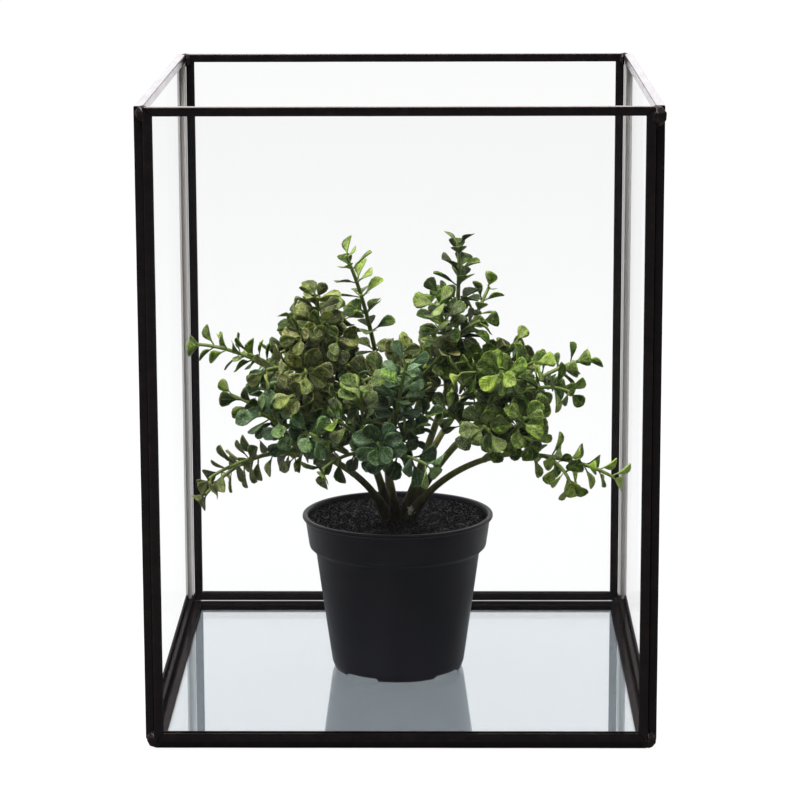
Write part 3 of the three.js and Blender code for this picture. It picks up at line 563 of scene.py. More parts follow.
for level in ("top", "bottom"):
    for corner in ("front_left", "front_right", "back_left", "back_right"):
        node = f"solder_{level}_{corner}"
        rough = bpy.data.meshes.new(f"{node}_lump")
        weld(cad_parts[node].data, rough)
        lump = link_object(f"{node}_lump", rough)
        remesh = lump.modifiers.new("even", "REMESH")
        remesh.mode = "VOXEL"
        remesh.voxel_size = SOLDER_VOXEL * MM
        smooth = lump.modifiers.new("smooth", "SMOOTH")
        smooth.iterations = SOLDER_SMOOTHING
        depsgraph = bpy.context.evaluated_depsgraph_get()
        plain = bpy.data.meshes.new_from_object(lump.evaluated_get(depsgraph), depsgraph=depsgraph)
        lump.modifiers.clear()
        lump.data = plain
        plain.shade_smooth()
        low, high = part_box(node)
        middle = (low + high) / 2
        heart = Vector((middle.x * SOLDER_DRAWN_IN, middle.y * SOLDER_DRAWN_IN, middle.z))
        shrink = Matrix.Scale(SOLDER_SHRINK, 4)
        plain.transform(Matrix.Translation(heart) @ shrink @ Matrix.Translation(-heart))
        mark_rubbed(plain, SOLDER_RUBBED, 0.0)
        plain.materials.clear()
        plain.materials.append(black_solder)
        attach(lump, "root")
        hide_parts(node)

# ------------------------------------------------------------------ pot
# A round nursery pot, moulded in one piece of matt black plastic: a tapering wall, a deeper collar
# under a rolled lip, and a low foot in four tabs.
POT_SEGMENTS = 144
POT_HEIGHT = 83
POT_TABS = 4
POT_TAB_TURN = 8.5
POT_NOTCH_HALF = 18
POT_FOOT_RISE = 1.8
POT_LIP_DEPTH = 3
POT_LIP_WAVE = 0.12
POT_SHARP = 50
POT_OUTLINE = [
    (0, 1.8), (15, 1.8), (30.5, 1.8), (30.5, 0.3), (30.8, 0), (32.9, 0), (33.3, 0.2), (33.5, 0.6),
    (34.0, 1.8), (34.4, 2.7), (34.8, 4.0), (35.0, 5.5), (35.6, 9.5), (38.3, 29), (41.0, 48),
    (42.7, 60.5), (43.0, 62.2), (43.3, 63.2), (44.1, 64.3), (45.4, 65.1), (46.2, 65.9), (46.6, 67.0),
    (46.8, 68.4), (48.4, 79.6), (48.8, 80.7), (49.3, 81.1), (49.8, 81.25), (50.0, 81.6), (50.0, 82.3),
    (49.8, 82.75), (49.4, 83.0), (48.2, 83.0), (47.7, 82.8), (47.4, 82.4), (47.1, 81.0), (46.9, 79.6),
    (45.1, 67.0), (41.5, 62.5), (33.5, 6.3), (30.5, 3.3), (15, 3.3), (0, 3.3),
]


def turned_mesh(name, outline, angles, shape=None):
    """A mesh turned round Z from an outline of radii and heights, which starts and ends on the axis.

    shape, where there is one, moves a point by its radius, height and angle.
    """
    points = []
    rows = []
    for radius, height in outline:
        if radius == 0:
            rows.append([len(points)] * len(angles))
            points.append((0, 0, height))
            continue
        rows.append(range(len(points), len(points) + len(angles)))
        for angle in angles:
            r, z = shape(radius, height, angle) if shape else (radius, height)
            points.append((r * math.cos(angle), r * math.sin(angle), z))
    faces = []
    for lower, upper in zip(rows, rows[1:]):
        for i in range(len(angles)):
            j = (i + 1) % len(angles)
            corners = dict.fromkeys((lower[i], lower[j], upper[j], upper[i]))
            faces.append(tuple(corners))
    mesh = bpy.data.meshes.new(name)
    mesh.from_pydata(points, [], faces)
    outward(mesh)
    return mesh


def pot_foot(radius, height, angle):
    """Lifts the foot into the pot's floor between its tabs, and waves the lip a very little."""
    quarter = 360 / POT_TABS
    from_tab = (math.degrees(angle) - POT_TAB_TURN + quarter / 2) % quarter - quarter / 2
    in_notch = abs(from_tab) > quarter / 2 - POT_NOTCH_HALF
    if in_notch and height < POT_FOOT_RISE and radius > 0:
        height = POT_FOOT_RISE
    if height > POT_HEIGHT - POT_LIP_DEPTH:
        height += POT_LIP_WAVE * math.sin(3 * angle + 0.6)
    return radius, height


matt_black, tree = new_material("matt_black_plastic")
cloudy = noise(tree, 45, 5, 0.6)
grain = noise(tree, 4200, 2)
dust = noise(tree, 240, 7, 0.7, (1, 1, 0.5))
colour = ramp(tree, cloudy, [(0.3, (0.0102, 0.0093, 0.0148)), (0.7, (0.0160, 0.0148, 0.0222))])
dusty = mix(tree, spread(tree, dust, 0, 0.3, 0.62, 0.8), colour, (0.05, 0.05, 0.05, 1))
shader = add_node(tree, "ShaderNodeBsdfPrincipled", {
    "Base Color": dusty, "Roughness": spread(tree, cloudy, 0.36, 0.48),
    "Specular IOR Level": 0.16,
})
finish_material(tree, shader, grain, 0.000012)

low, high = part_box("pot")
pot_place = Matrix.Translation(((low.x + high.x) / 2, (low.y + high.y) / 2, low.z))
pot_angles = [2 * math.pi * i / POT_SEGMENTS for i in range(POT_SEGMENTS)]
pot_mesh = turned_mesh("nursery_pot", POT_OUTLINE, pot_angles, pot_foot)
pot_mesh.transform(pot_place @ Matrix.Scale(MM, 4))
weld(pot_mesh, pot_mesh)
pot_mesh.shade_smooth()
pot_mesh.set_sharp_from_angle(angle=math.radians(POT_SHARP))
pot_mesh.materials.append(matt_black)
pot = link_object("nursery_pot", pot_mesh)
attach(pot, "root")
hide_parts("pot")

# ------------------------------------------------------------------ soil
# Coarse black granules that stand for potting soil, glued down in one layer round the stems. They
# lie nearly level with the lip of the pot, in low humps.
SOIL_TOP = 80.4
SOIL_EDGE = 46.6
SOIL_RINGS = 34
SOIL_SEGMENTS = 96
SOIL_RELIEF = 0.55
CRUMB_DENSITY = 330000
CRUMB_RADIUS = 0.85
CRUMB_SEED = 5
CRUMB_SIZE_SEED = 11
CRUMB_LEAST = (0.45, 0.4, 0.35)
CRUMB_MOST = (1.25, 1.05, 0.9)
CRUMB_TURN = (6.28, 6.28, 6.28)
CRUMB_LEVEL = 0.6

dark_soil, tree = new_material("dark_soil")
crumb_tone = noise(tree, 700, 2)
colour = ramp(tree, crumb_tone, [
    (0.38, (0.0010, 0.0008, 0.0013)), (0.58, (0.0032, 0.0027, 0.0042)), (0.72, (0.026, 0.023, 0.029)),
])
shader = add_node(tree, "ShaderNodeBsdfPrincipled", {
    "Base Color": colour, "Roughness": spread(tree, crumb_tone, 0.4, 0.8),
    "Specular IOR Level": 0.07,
})
finish_material(tree, shader, noise(tree, 2600, 3), 0.0001)


def soil_relief(radius, height, angle):
    """Low humps in the soil's top."""
    if height < SOIL_TOP - 1 or radius > SOIL_EDGE - 0.5:
        return radius, height
    x = radius * math.cos(angle)
    y = radius * math.sin(angle)
    hump = math.sin(0.33 * x + 1.3) * math.cos(0.29 * y) + 0.5 * math.sin(0.71 * x - 0.6 * y)
    return radius, height + SOIL_RELIEF * hump


soil_outline = [(0, 3.8), (29, 3.8), (32.6, 6.8), (40.6, 62.5), (44.4, 67), (SOIL_EDGE - 0.2, 79.5)]
soil_outline += [(SOIL_EDGE * (1 - ring / SOIL_RINGS), SOIL_TOP) for ring in range(SOIL_RINGS + 1)]
soil_angles = [2 * math.pi * i / SOIL_SEGMENTS for i in range(SOIL_SEGMENTS)]
soil_base = turned_mesh("soil_base", soil_outline, soil_angles, soil_relief)
soil_base.transform(pot_place @ Matrix.Scale(MM, 4))

tree, given = new_tree("granules", {
    "Density": "Float", "Radius": "Float", "Seed": "Int", "Top": "Float", "Finish": "Material",
})
normal = add_node(tree, "GeometryNodeInputNormal").outputs[0]
rise = part_of(tree, normal, "Z")
height = part_of(tree, add_node(tree, "GeometryNodeInputPosition").outputs[0], "Z")
faces_up = calc(tree, "GREATER_THAN", rise, CRUMB_LEVEL)
is_high = calc(tree, "GREATER_THAN", height, given["Top"])
on_top = calc(tree, "MULTIPLY", faces_up, is_high)
scattered = add_node(tree, "GeometryNodeDistributePointsOnFaces", {
    "Mesh": given["Geometry"], "Selection": on_top, "Density": given["Density"], "Seed": given["Seed"],
})
crumb = add_node(tree, "GeometryNodeMeshIcoSphere", {"Radius": given["Radius"], "Subdivisions": 1})
turns = add_node(tree, "FunctionNodeRandomValue", {
    0: (0, 0, 0), 1: CRUMB_TURN, "Seed": given["Seed"],
}, data_type="FLOAT_VECTOR").outputs[0]
sizes = add_node(tree, "FunctionNodeRandomValue", {
    0: CRUMB_LEAST, 1: CRUMB_MOST, "Seed": CRUMB_SIZE_SEED,
}, data_type="FLOAT_VECTOR").outputs[0]
crumbs = add_node(tree, "GeometryNodeInstanceOnPoints", {
    "Points": scattered.outputs["Points"], "Instance": crumb.outputs["Mesh"], "Rotation": turns,
    "Scale": sizes,
})
whole = add_node(tree, "GeometryNodeJoinGeometry", {"Geometry": crumbs.outputs["Instances"]})
tree.links.new(given["Geometry"], whole.inputs["Geometry"])
end_tree(tree, whole.outputs["Geometry"], given["Finish"])
soil = grow("soil_granules", soil_base, tree, {
    "Density": float(CRUMB_DENSITY), "Radius": CRUMB_RADIUS * MM, "Seed": CRUMB_SEED,
    "Top": pot_place.translation.z + (SOIL_TOP - 2) * MM, "Finish": dark_soil,
})
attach(soil, "root")
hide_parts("soil")

# ------------------------------------------------------------------ stems
# Eight moulded plastic stems, olive brown, that leave the soil as one bundle and fan out. Each is
# slimmer towards its end.
STEM_SIDES = 12
STEM_STEP = 2.0
STEM_SHARP = 60
GUIDE_STEPS = 200
GUIDE_NUDGE = 0.0001
FOOT_SWELL = 2.8
FOOT_REACH = 34
GLUE_PLACE = (0.0045, 0.0015, 0.088)
GLUE_REACH = 0.0042
GLUE_RAGGED = 0.004
GLUE_SOFTNESS = 0.0006
GLUE_WHITE = (0.68, 0.66, 0.55, 1)
STEMS = {
    "low_left": {
        "guide": [(-5.5, 4, 69), (-7, 3, 96), (-26, -8, 116), (-55, -20, 128)],
        "radii": (2.2, 1.5),
    },
    "high_left": {
        "guide": [(-5, 6.5, 69), (-8, 7, 104), (-26, 2, 138), (-40, -8, 164)],
        "radii": (2.4, 1.5),
    },
    "front": {
        "guide": [(-3.5, 2.5, 69), (-4, -1, 98), (-6, -24, 110), (-9, -42, 124)],
        "radii": (2.1, 1.4),
    },
    "centre": {
        "guide": [(-2, 6, 69), (3, 6, 104), (20, 6, 132), (27, 1, 172)],
        "radii": (2.4, 1.4),
    },
    "high_right": {
        "guide": [(-0.5, 5.5, 69), (6, 6, 104), (30, 0, 128), (52, -10, 150)],
        "radii": (2.3, 1.5),
    },
    "low_right": {
        "guide": [(-0.5, 3.5, 69), (3, 3, 98), (32, -5, 118), (58, -12, 122)],
        "radii": (2.2, 1.4),
    },
    "back_left": {
        "guide": [(-4, 8, 69), (-6, 11, 104), (-14, 26, 126), (-12, 32, 152)],
        "radii": (2.2, 1.4),
    },
    "back_right": {
        "guide": [(-1.5, 8, 69), (3, 11, 104), (20, 30, 122), (34, 42, 144)],
        "radii": (2.2, 1.4),
    },
}


class Guide:
    """A smooth curve in millimetres, with a radius that runs evenly from its root to its tip."""

    def __init__(self, points, radii):
        self.points = [np.array(point, float) for point in points]
        self.radii = radii
        places = [self.at(i / GUIDE_STEPS) for i in range(GUIDE_STEPS + 1)]
        self.length = sum(float(np.linalg.norm(b - a)) for a, b in zip(places, places[1:]))
        self.chord = unit(self.at(1.0) - self.at(0.0))

    def at(self, t):
        """The place at a share t of the way along."""
        points = self.points
        while len(points) > 1:
            points = [a + (b - a) * t for a, b in zip(points, points[1:])]
        return points[0]

    def along(self, t):
        """The direction in which the curve runs at t."""
        return unit(self.at(min(t + GUIDE_NUDGE, 1.0)) - self.at(max(t - GUIDE_NUDGE, 0.0)))

    def radius(self, t):
        return self.radii[0] + (self.radii[1] - self.radii[0]) * t

    def cross_frame(self, t):
        """Two directions square to the curve, which turn with it as little as they can."""
        helper = np.array((1.0, 0, 0) if abs(self.chord[2]) > 0.8 else (0, 0, 1.0))
        along = self.along(t)
        first = unit(helper - along * float(helper @ along))
        return along, first, np.cross(along, first)


def unit(vector):
    """The same direction with length 1."""
    return vector / np.linalg.norm(vector)


def skeleton(name, lines, points=()):
    """A mesh of lines, each a list of places and radii, and of loose points with their own values."""
    places = []
    edges = []
    values = {"radius": [], "is_leaf": [], "size": [], "shade": [], "tint": [], "kind": []}
    turns = []
    for line in lines:
        start = len(places)
        for place, radius in line:
            places.append(place * MM)
            for key in values:
                values[key].append(radius * MM if key == "radius" else 0)
            turns.append((1, 0, 0, 0))
        edges += [(i, i + 1) for i in range(start, len(places) - 1)]
    for point in points:
        places.append(point["place"] * MM)
        for key in values:
            values[key].append(point.get(key, 0))
        turns.append(point["turn"])
    mesh = bpy.data.meshes.new(name)
    mesh.from_pydata([tuple(place) for place in places], edges, [])
    for key in ("radius", "is_leaf", "size", "shade", "tint"):
        mesh.attributes.new(key, "FLOAT", "POINT").data.foreach_set("value", values[key])
    mesh.attributes.new("kind", "INT", "POINT").data.foreach_set("value", values["kind"])
    mesh.attributes.new("turn", "QUATERNION", "POINT").data.foreach_set("value", np.ravel(turns))
    return mesh


def named(tree, name, kind="FLOAT"):
    """What each point holds under this name."""
    read = add_node(tree, "GeometryNodeInputNamedAttribute", {"Name": name}, data_type=kind)
    return read.outputs["Attribute"]


def tube_of(tree, geometry, sides):
    """The nodes that sweep a circle of each point's own radius along a skeleton's lines."""
    line = add_node(tree, "GeometryNodeMeshToCurve", {"Mesh": geometry})
    thick = add_node(tree, "GeometryNodeSetCurveRadius", {
        "Curve": line.outputs["Curve"], "Radius": named(tree, "radius"),
    })
    ring = add_node(tree, "GeometryNodeCurvePrimitiveCircle", {"Resolution": sides, "Radius": 1.0})
    sockets = {
        "Curve": thick.outputs["Curve"], "Profile Curve": ring.outputs["Curve"], "Fill Caps": True,
    }
    tube = add_node(tree, "GeometryNodeCurveToMesh", sockets)
    if "Scale" in tube.inputs:
        tree.links.new(named(tree, "radius"), tube.inputs["Scale"])
    return tube.outputs["Mesh"]


olive_stem, tree = new_material("olive_stem")
bark = noise(tree, 380, 5, 0.6, (1, 1, 0.25))
high_up = part_of(tree, add_node(tree, "ShaderNodeTexCoord").outputs["Object"], "Z")
brown = ramp(tree, bark, [(0.3, (0.014, 0.012, 0.005)), (0.7, (0.070, 0.062, 0.024))])
green = ramp(tree, bark, [(0.3, (0.075, 0.090, 0.012)), (0.7, (0.27, 0.29, 0.06))])
greener = spread(tree, high_up, 0, 0.95, 0.094, 0.124)
wood = mix(tree, greener, brown, green)
from_glue = add_node(tree, "ShaderNodeVectorMath", {
    0: add_node(tree, "ShaderNodeTexCoord").outputs["Object"], 1: GLUE_PLACE,
}, operation="DISTANCE").outputs["Value"]
ragged = calc(tree, "MULTIPLY_ADD", noise(tree, 700, 3), GLUE_RAGGED, from_glue)
glue = spread(tree, ragged, 0.75, 0, GLUE_REACH, GLUE_REACH + GLUE_SOFTNESS)
shader = add_node(tree, "ShaderNodeBsdfPrincipled", {
    "Base Color": mix(tree, glue, wood, GLUE_WHITE), "Roughness": spread(tree, bark, 0.4, 0.6),
    "Specular IOR Level": 0.3,
})
finish_material(tree, shader, bark, 0.0002)

tree, given = new_tree("stems", {"Sides": "Int", "Finish": "Material"})
end_tree(tree, tube_of(tree, given["Geometry"], given["Sides"]), given["Finish"])


def walk(guide, step, swell_at):
    """Places and radii along a guide, a step apart, each thicker by swell_at its distance from the root."""
    count = max(2, math.ceil(guide.length / step))
    return [
        (guide.at(i / count), guide.radius(i / count) + swell_at(guide.length * i / count))
        for i in range(count + 1)
    ]


def foot_swell(reach):
    """The stems run together into one foot where they leave the soil."""
    return FOOT_SWELL * max(0.0, 1 - reach / FOOT_REACH)


for stem in STEMS.values():
    stem["curve"] = Guide(stem["guide"], stem["radii"])
stem_lines = [walk(stem["curve"], STEM_STEP, foot_swell) for stem in STEMS.values()]
stem_skeleton = skeleton("stem_lines", stem_lines)
stems = swept("moulded_stems", stem_skeleton, tree, {
    "Sides": STEM_SIDES, "Finish": olive_stem,
}, STEM_SHARP)
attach(stems, "root")
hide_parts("stems")

# ------------------------------------------------------------------ sprays
# Each spray is one soft plastic moulding plugged onto a stem: a thin twig, its side twigs, and
# whorls of four spoon-shaped leaves, spaced evenly along them.
# paler lightens or darkens all the leaves of a spray: partly their own tone, partly painted light and shade
SPRAYS = {
    "top_centre": {"on": ("centre", 1), "tip": (29, 0, 231), "bow": 0, "from": 0.12, "leaf": 13,
                   "tone": "dark"},
    "top_right": {"on": ("centre", 0.72), "tip": (45, 30, 202), "bow": 4, "from": 0.3, "leaf": 10.5,
                  "tone": "fresh", "forks": [(0.3, (50, 6, 170))]},
    "top_left": {"on": ("back_left", 1), "tip": (-30, 24, 220), "bow": 3, "from": 0.18, "leaf": 12.5,
                 "tone": "fresh", "paler": 0.1},
    "left_crown": {"on": ("high_left", 1), "tip": (-43, -22, 206), "bow": 2, "from": 0.16, "leaf": 12.5,
                   "tone": "olive", "forks": [(0.16, (-32, -38, 187))]},
    "left_shoulder": {"on": ("high_left", 0.8), "tip": (-57, 2, 192), "bow": 5, "from": 0.25, "leaf": 11.5,
                      "tone": "dark", "forks": [(0.3, (-54, 26, 180)), (0.3, (-30, 6, 190))]},
    "far_left": {"on": ("high_left", 0.62), "tip": (-106, -4, 178), "bow": 9, "from": 0.28, "leaf": 11,
                 "tone": "fresh", "forks": [(0.3, (-80, -10, 174))]},
    "left_middle": {"on": ("low_left", 0.72), "tip": (-91, 18, 147), "bow": 6, "from": 0.25, "leaf": 11,
                    "tone": "olive", "forks": [(0.3, (-66, 34, 152))]},
    "left_front": {"on": ("high_left", 0.9), "tip": (-70, -34, 170), "bow": 5, "from": 0.22, "leaf": 12.5,
                   "tone": "olive", "forks": [(0.25, (-48, -50, 172))]},
    "low_left_front": {"on": ("low_left", 1), "tip": (-62, -50, 148), "bow": 2, "from": 0.18, "leaf": 12.5,
                       "tone": "blue", "forks": [(0.15, (-42, -64, 142)), (0.2, (-72, -44, 150))]},
    "low_left": {"on": ("low_left", 0.88), "tip": (-101, -40, 106), "bow": 13, "from": 0.2, "leaf": 11.5,
                 "tone": "olive", "forks": [(0.3, (-98, -48, 117))]},
    "front_low": {"on": ("front", 1), "tip": (-12, -78, 142), "bow": 4, "from": 0.2, "leaf": 13,
                  "tone": "blue", "forks": [(0.2, (13, -66, 128))]},
    "front_high": {"on": ("front", 0.75), "tip": (3, -62, 180), "bow": 4, "from": 0.25, "leaf": 13,
                   "tone": "blue"},
    "front_left": {"on": ("front", 0.86), "tip": (-34, -60, 150), "bow": 5, "from": 0.25, "leaf": 12.5,
                   "tone": "dark", "forks": [(0.25, (-40, -58, 124)), (0.35, (-20, -62, 166))]},
    "middle": {"on": ("back_left", 0.7), "tip": (-1, -12, 176), "bow": 5, "from": 0.3, "leaf": 12,
               "tone": "olive", "forks": [(0.3, (-20, -32, 164))]},
    "crown": {"on": ("centre", 0.84), "tip": (18, -32, 204), "bow": 4, "from": 0.25, "leaf": 12.5,
              "tone": "dark", "paler": 0.04, "forks": [(0.3, (40, -14, 192))]},
    "right_front": {"on": ("high_right", 1), "tip": (50, -46, 172), "bow": 3, "from": 0.16, "leaf": 12.5,
                    "tone": "fresh", "paler": -0.03, "forks": [(0.2, (67, -32, 174))]},
    "right_low_front": {"on": ("low_right", 0.8), "tip": (62, -54, 150), "bow": 3, "from": 0.25,
                        "leaf": 12.5, "tone": "fresh", "paler": -0.08, "forks": [(0.35, (66, -48, 136))]},
    "right_inner": {"on": ("high_right", 0.6), "tip": (44, -60, 144), "bow": 6, "from": 0.45, "leaf": 12.5,
                    "tone": "dark"},
    "far_right": {"on": ("high_right", 0.88), "tip": (95, 6, 168), "bow": 5, "from": 0.2, "leaf": 11.5,
                  "tone": "fresh", "forks": [(0.25, (86, -20, 156))]},
    "right_top": {"on": ("back_right", 0.75), "tip": (60, 26, 174), "bow": 5, "from": 0.25, "leaf": 11.5,
                  "tone": "olive"},
    "low_right": {"on": ("low_right", 1), "tip": (109, -20, 111), "bow": 4, "from": 0.15, "leaf": 11.5,
                  "tone": "fresh", "paler": 0.26, "forks": [(0.25, (86, -36, 111))]},
    "back_left": {"on": ("back_left", 0.82), "tip": (-52, 62, 168), "bow": 6, "from": 0.25, "leaf": 12,
                  "tone": "dark", "forks": [(0.25, (-36, 70, 146))]},
    "back_middle": {"on": ("back_right", 0.88), "tip": (0, 84, 158), "bow": 6, "from": 0.25, "leaf": 12,
                    "tone": "olive", "forks": [(0.3, (24, 66, 184))]},
    "back_right": {"on": ("back_right", 1), "tip": (62, 80, 152), "bow": 4, "from": 0.2, "leaf": 12,
                   "tone": "blue", "forks": [(0.25, (80, 48, 146))]},
}
TWIG_RADII = (1.3, 0.85)
FORK_RADII = (1.05, 0.85)
TWIG_SPRING = 0.14
TWIG_STEP = 2.2
TWIG_SIDES = 8
FORK_BARE = 0.34
FORK_BOW = 3
SLEEVE_SWELL = 0.6
FORK_SWELL = 0.15
SLEEVE_REACH = 6
WHORL_SPACING = 8.8
WHORL_LAST_AT = 0.975
LEAVES_IN_WHORL = 4
WHORL_TURN_SPREAD = 0.5
AZIMUTH_SPREAD = 0.3
LEAN_AT_ROOT = 1.1
LEAN_LOSS = 0.35
LEAN_SPREAD = 0.35
ROLL_SPREAD = 0.9
TIP_LEAF_LOSS = 0.25
LEAST_LENGTH = 0.88
LENGTH_SPREAD = 0.24
LEAF_HALF_WIDTH = 0.36
LEAF_CUP = 0.2
LEAF_ARCH = 0.24
LEAF_TAPER_FROM = 0.8
LEAF_TAPER = 0.2
LEAF_WIDE_FROM = 0.45
LEAF_WIDENING = 0.62
LEAF_CLEARANCE = 1.9
STEM_CLEARANCE = 1.3
WOOD_STEP = 2
LEAF_LIMIT_X = 119
LOWEST_LEAF = 92
FIRST_SEED = 1000
SEED_STEP = 37


def twig_guide(root, along, tip, bow, radii):
    """The curve of a twig from its root, starting off along the wood that carries it."""
    tip = np.array(tip, float)
    middle = root + (tip - root) * 0.5 + along * float(np.linalg.norm(tip - root)) * TWIG_SPRING
    middle[2] += bow
    return Guide([root, middle, tip], radii)


twigs = []
for spray in SPRAYS.values():
    stem = STEMS[spray["on"][0]]["curve"]
    at = spray["on"][1]
    curve = twig_guide(stem.at(at), stem.along(at), spray["tip"], spray["bow"], TWIG_RADII)
    spray["twigs"] = [{"curve": curve, "from": spray["from"], "leaf": spray["leaf"]}]
    twigs += spray["twigs"]
for spray in SPRAYS.values():
    own = spray["twigs"][0]["curve"]
    for at, tip in spray.get("forks", ()):
        curve = twig_guide(own.at(at), own.along(at), tip, FORK_BOW, FORK_RADII)
        twig = {"curve": curve, "from": FORK_BARE, "leaf": spray["leaf"]}
        spray["twigs"].append(twig)
        twigs.append(twig)

# points on all the wood, which the leaves of other twigs keep clear of
wood_places = []
wood_reach = []
wood_owner = []
wood_curves = [stem["curve"] for stem in STEMS.values()] + [twig["curve"] for twig in twigs]
for owner, curve in enumerate(wood_curves):
    count = math.ceil(curve.length / WOOD_STEP)
    for i in range(count + 1):
        wood_places.append(curve.at(i / count))
        wood_reach.append(curve.radius(i / count) + STEM_CLEARANCE)
        wood_owner.append(owner)
wood_places = np.array(wood_places)
wood_reach = np.array(wood_reach)
wood_owner = np.array(wood_owner)


def leaf_half_width(along, length):
    """The plain leaf's half width, by which leaves are kept apart."""
    full = length * LEAF_HALF_WIDTH
    if along < LEAF_TAPER_FROM:
        return full * min(LEAF_WIDENING * along / LEAF_WIDE_FROM, 1)
    return full * (1 - along) / LEAF_TAPER


SAMPLE_ALONG = (0.2, 0.35, 0.5, 0.65, 0.8, 0.93)
SAMPLE_ACROSS = (-1, -0.5, 0, 0.5, 1)
SAMPLE_GRID = [(along, across) for along in SAMPLE_ALONG for across in SAMPLE_ACROSS]
MIDDLE_SAMPLE = 12


def leaf_samples(leaf):
    """Points spread over a leaf."""
    length = leaf["length"]
    points = []
    for along, across in SAMPLE_GRID:
        side = across * leaf_half_width(along, length)
        lift = LEAF_CUP * across * side - LEAF_ARCH * length * along * along
        middle = leaf["root"] + leaf["axis"] * length * along
        points.append(middle + leaf["side"] * side + leaf["up"] * lift)
    return np.array(points)


placed_middles = np.zeros((0, 3))
placed_lengths = np.zeros(0)
placed_samples = np.zeros((0, len(SAMPLE_GRID), 3))


def is_clear(owner, samples, length, leaf_gap=LEAF_CLEARANCE, lowest=LOWEST_LEAF):
    """Whether a leaf keeps inside the box, and clear of the wood of others and of all leaves so far."""
    middle = samples[MIDDLE_SAMPLE]
    if (abs(samples[:, 0]) > LEAF_LIMIT_X).any() or (samples[:, 2] < lowest).any():
        return False
    near = (wood_owner != owner) & (np.linalg.norm(wood_places - middle, axis=1) < length)
    gaps = np.linalg.norm(samples[:, None] - wood_places[near][None], axis=2)
    if (gaps < wood_reach[near][None]).any():
        return False
    near = np.linalg.norm(placed_middles - middle, axis=1) < length + placed_lengths
    gaps = np.linalg.norm(placed_samples[near][:, :, None] - samples[None, None], axis=3)
    return not (gaps < leaf_gap).any()


def turned_about(vector, axis, angle):
    """A vector turned about an axis of length 1."""
    return (vector * math.cos(angle) + np.cross(axis, vector) * math.sin(angle)
            + axis * float(axis @ vector) * (1 - math.cos(angle)))


def leaf_at(guide, t, azimuth, lean, roll, length):
    """A leaf that leaves its twig at t.

    azimuth is its side of the twig, lean how far it stands away, and roll its twist.
    """
    along, first, second = guide.cross_frame(t)
    out = first * math.cos(azimuth) + second * math.sin(azimuth)
    axis = along * math.cos(lean) + out * math.sin(lean)
    side = turned_about(unit(np.cross(along, out)), axis, roll)
    up = unit(np.cross(axis, side))
    root = guide.at(t) + out * guide.radius(t) * math.cos(math.pi / LEAVES_IN_WHORL)
    return {"root": root, "axis": axis, "side": side, "up": up, "length": length}


# turns, leans and sizes that are tried in order when a leaf would touch another
TRIES = [(0, 0, 1), (0.3, 0, 1), (-0.3, 0, 1), (0, -0.3, 1), (0, 0.3, 1), (0.25, -0.3, 0.85),
         (-0.25, -0.3, 0.85), (0, -0.35, 0.7)]


def draws_from(seed):
    """A steady stream of draws between 0 and 1."""
    state = seed
    while True:
        state = (state * 16807) % 2147483647
        yield state / 2147483647


def place_leaf(twig, leaf, samples):
    """Keeps a leaf, which later ones then stay clear of."""
    global placed_middles, placed_lengths, placed_samples
    placed_middles = np.vstack([placed_middles, samples[MIDDLE_SAMPLE]])
    placed_lengths = np.append(placed_lengths, leaf["length"])
    placed_samples = np.concatenate([placed_samples, samples[None]])
    twig["leaves"].append(leaf)


def whorl_leaves(twig, stream):
    """Each leaf of a twig in turn, as the list of ways in which it may stand."""
    guide = twig["curve"]
    leafy = guide.length * (WHORL_LAST_AT - twig["from"])
    count = max(2, math.floor(leafy / WHORL_SPACING + 0.5) + 1)
    turn = next(stream) * math.pi
    for whorl in range(count):
        share = whorl / (count - 1)
        t = twig["from"] + (WHORL_LAST_AT - twig["from"]) * share
        turn += math.pi / 4 + (next(stream) - 0.5) * WHORL_TURN_SPREAD
        for flat in range(LEAVES_IN_WHORL):
            azimuth = turn + flat * math.pi / 2 + (next(stream) - 0.5) * AZIMUTH_SPREAD
            lean = LEAN_AT_ROOT - LEAN_LOSS * share + (next(stream) - 0.5) * LEAN_SPREAD
            roll = (next(stream) - 0.5) * ROLL_SPREAD
            length = twig["leaf"] * (1 - TIP_LEAF_LOSS * share * share)
            length *= LEAST_LENGTH + LENGTH_SPREAD * next(stream)
            yield [
                {**leaf_at(guide, t, azimuth + turned, lean + tipped, roll, length * size), "share": share}
                for turned, tipped, size in TRIES
            ]


def clear_way(ways, owner, gap=LEAF_CLEARANCE, lowest=LOWEST_LEAF):
    """The first way for a leaf to stand clear of all others, with its samples, or None."""
    for leaf in ways:
        samples = leaf_samples(leaf)
        if is_clear(owner, samples, leaf["length"], gap, lowest):
            return leaf, samples
    return None


for index, twig in enumerate(twigs):
    twig["leaves"] = []
    for ways in whorl_leaves(twig, draws_from(FIRST_SEED + SEED_STEP * index)):
        found = clear_way(ways, len(STEMS) + index)
        if found:
            place_leaf(twig, *found)

# Short side twigs fill the middle of the bush. Each stands in one of these lumps, given by its
# middle and its reach, and is kept where most of its leaves find room.
CROWN = [((-48, -6, 150), (28, 50, 38)), ((-44, -14, 190), (14, 24, 13)), ((-40, -20, 203), (12, 14, 8)),
         ((-14, -14, 142), (26, 60, 34)), ((8, -14, 152), (16, 42, 22)), ((30, -6, 170), (14, 34, 26)),
         ((26, -10, 199), (10, 18, 10)), ((52, -6, 150), (22, 46, 20)), ((-26, -18, 122), (26, 36, 15)),
         ((-62, -34, 122), (12, 16, 6)), ((-96, -42, 106), (10, 10, 5)), ((100, -24, 108), (16, 12, 7))]
FILLER_TRIES = 1600
FILLER_SEED = 77
FILLER_RADII = (0.85, 0.6)
FILLER_GAP = 0.8
FILLER_ROOM = 0.4
FILLER_LOWEST = 90
FILLER_BOW = 2
FILLER_BARE = 0.3
FILLER_STEPS = 12
FILLER_FREE_FROM = 3
FILLER_WOOD_GAP = 0.3
FILLER_LEAF_GAP = 1.6
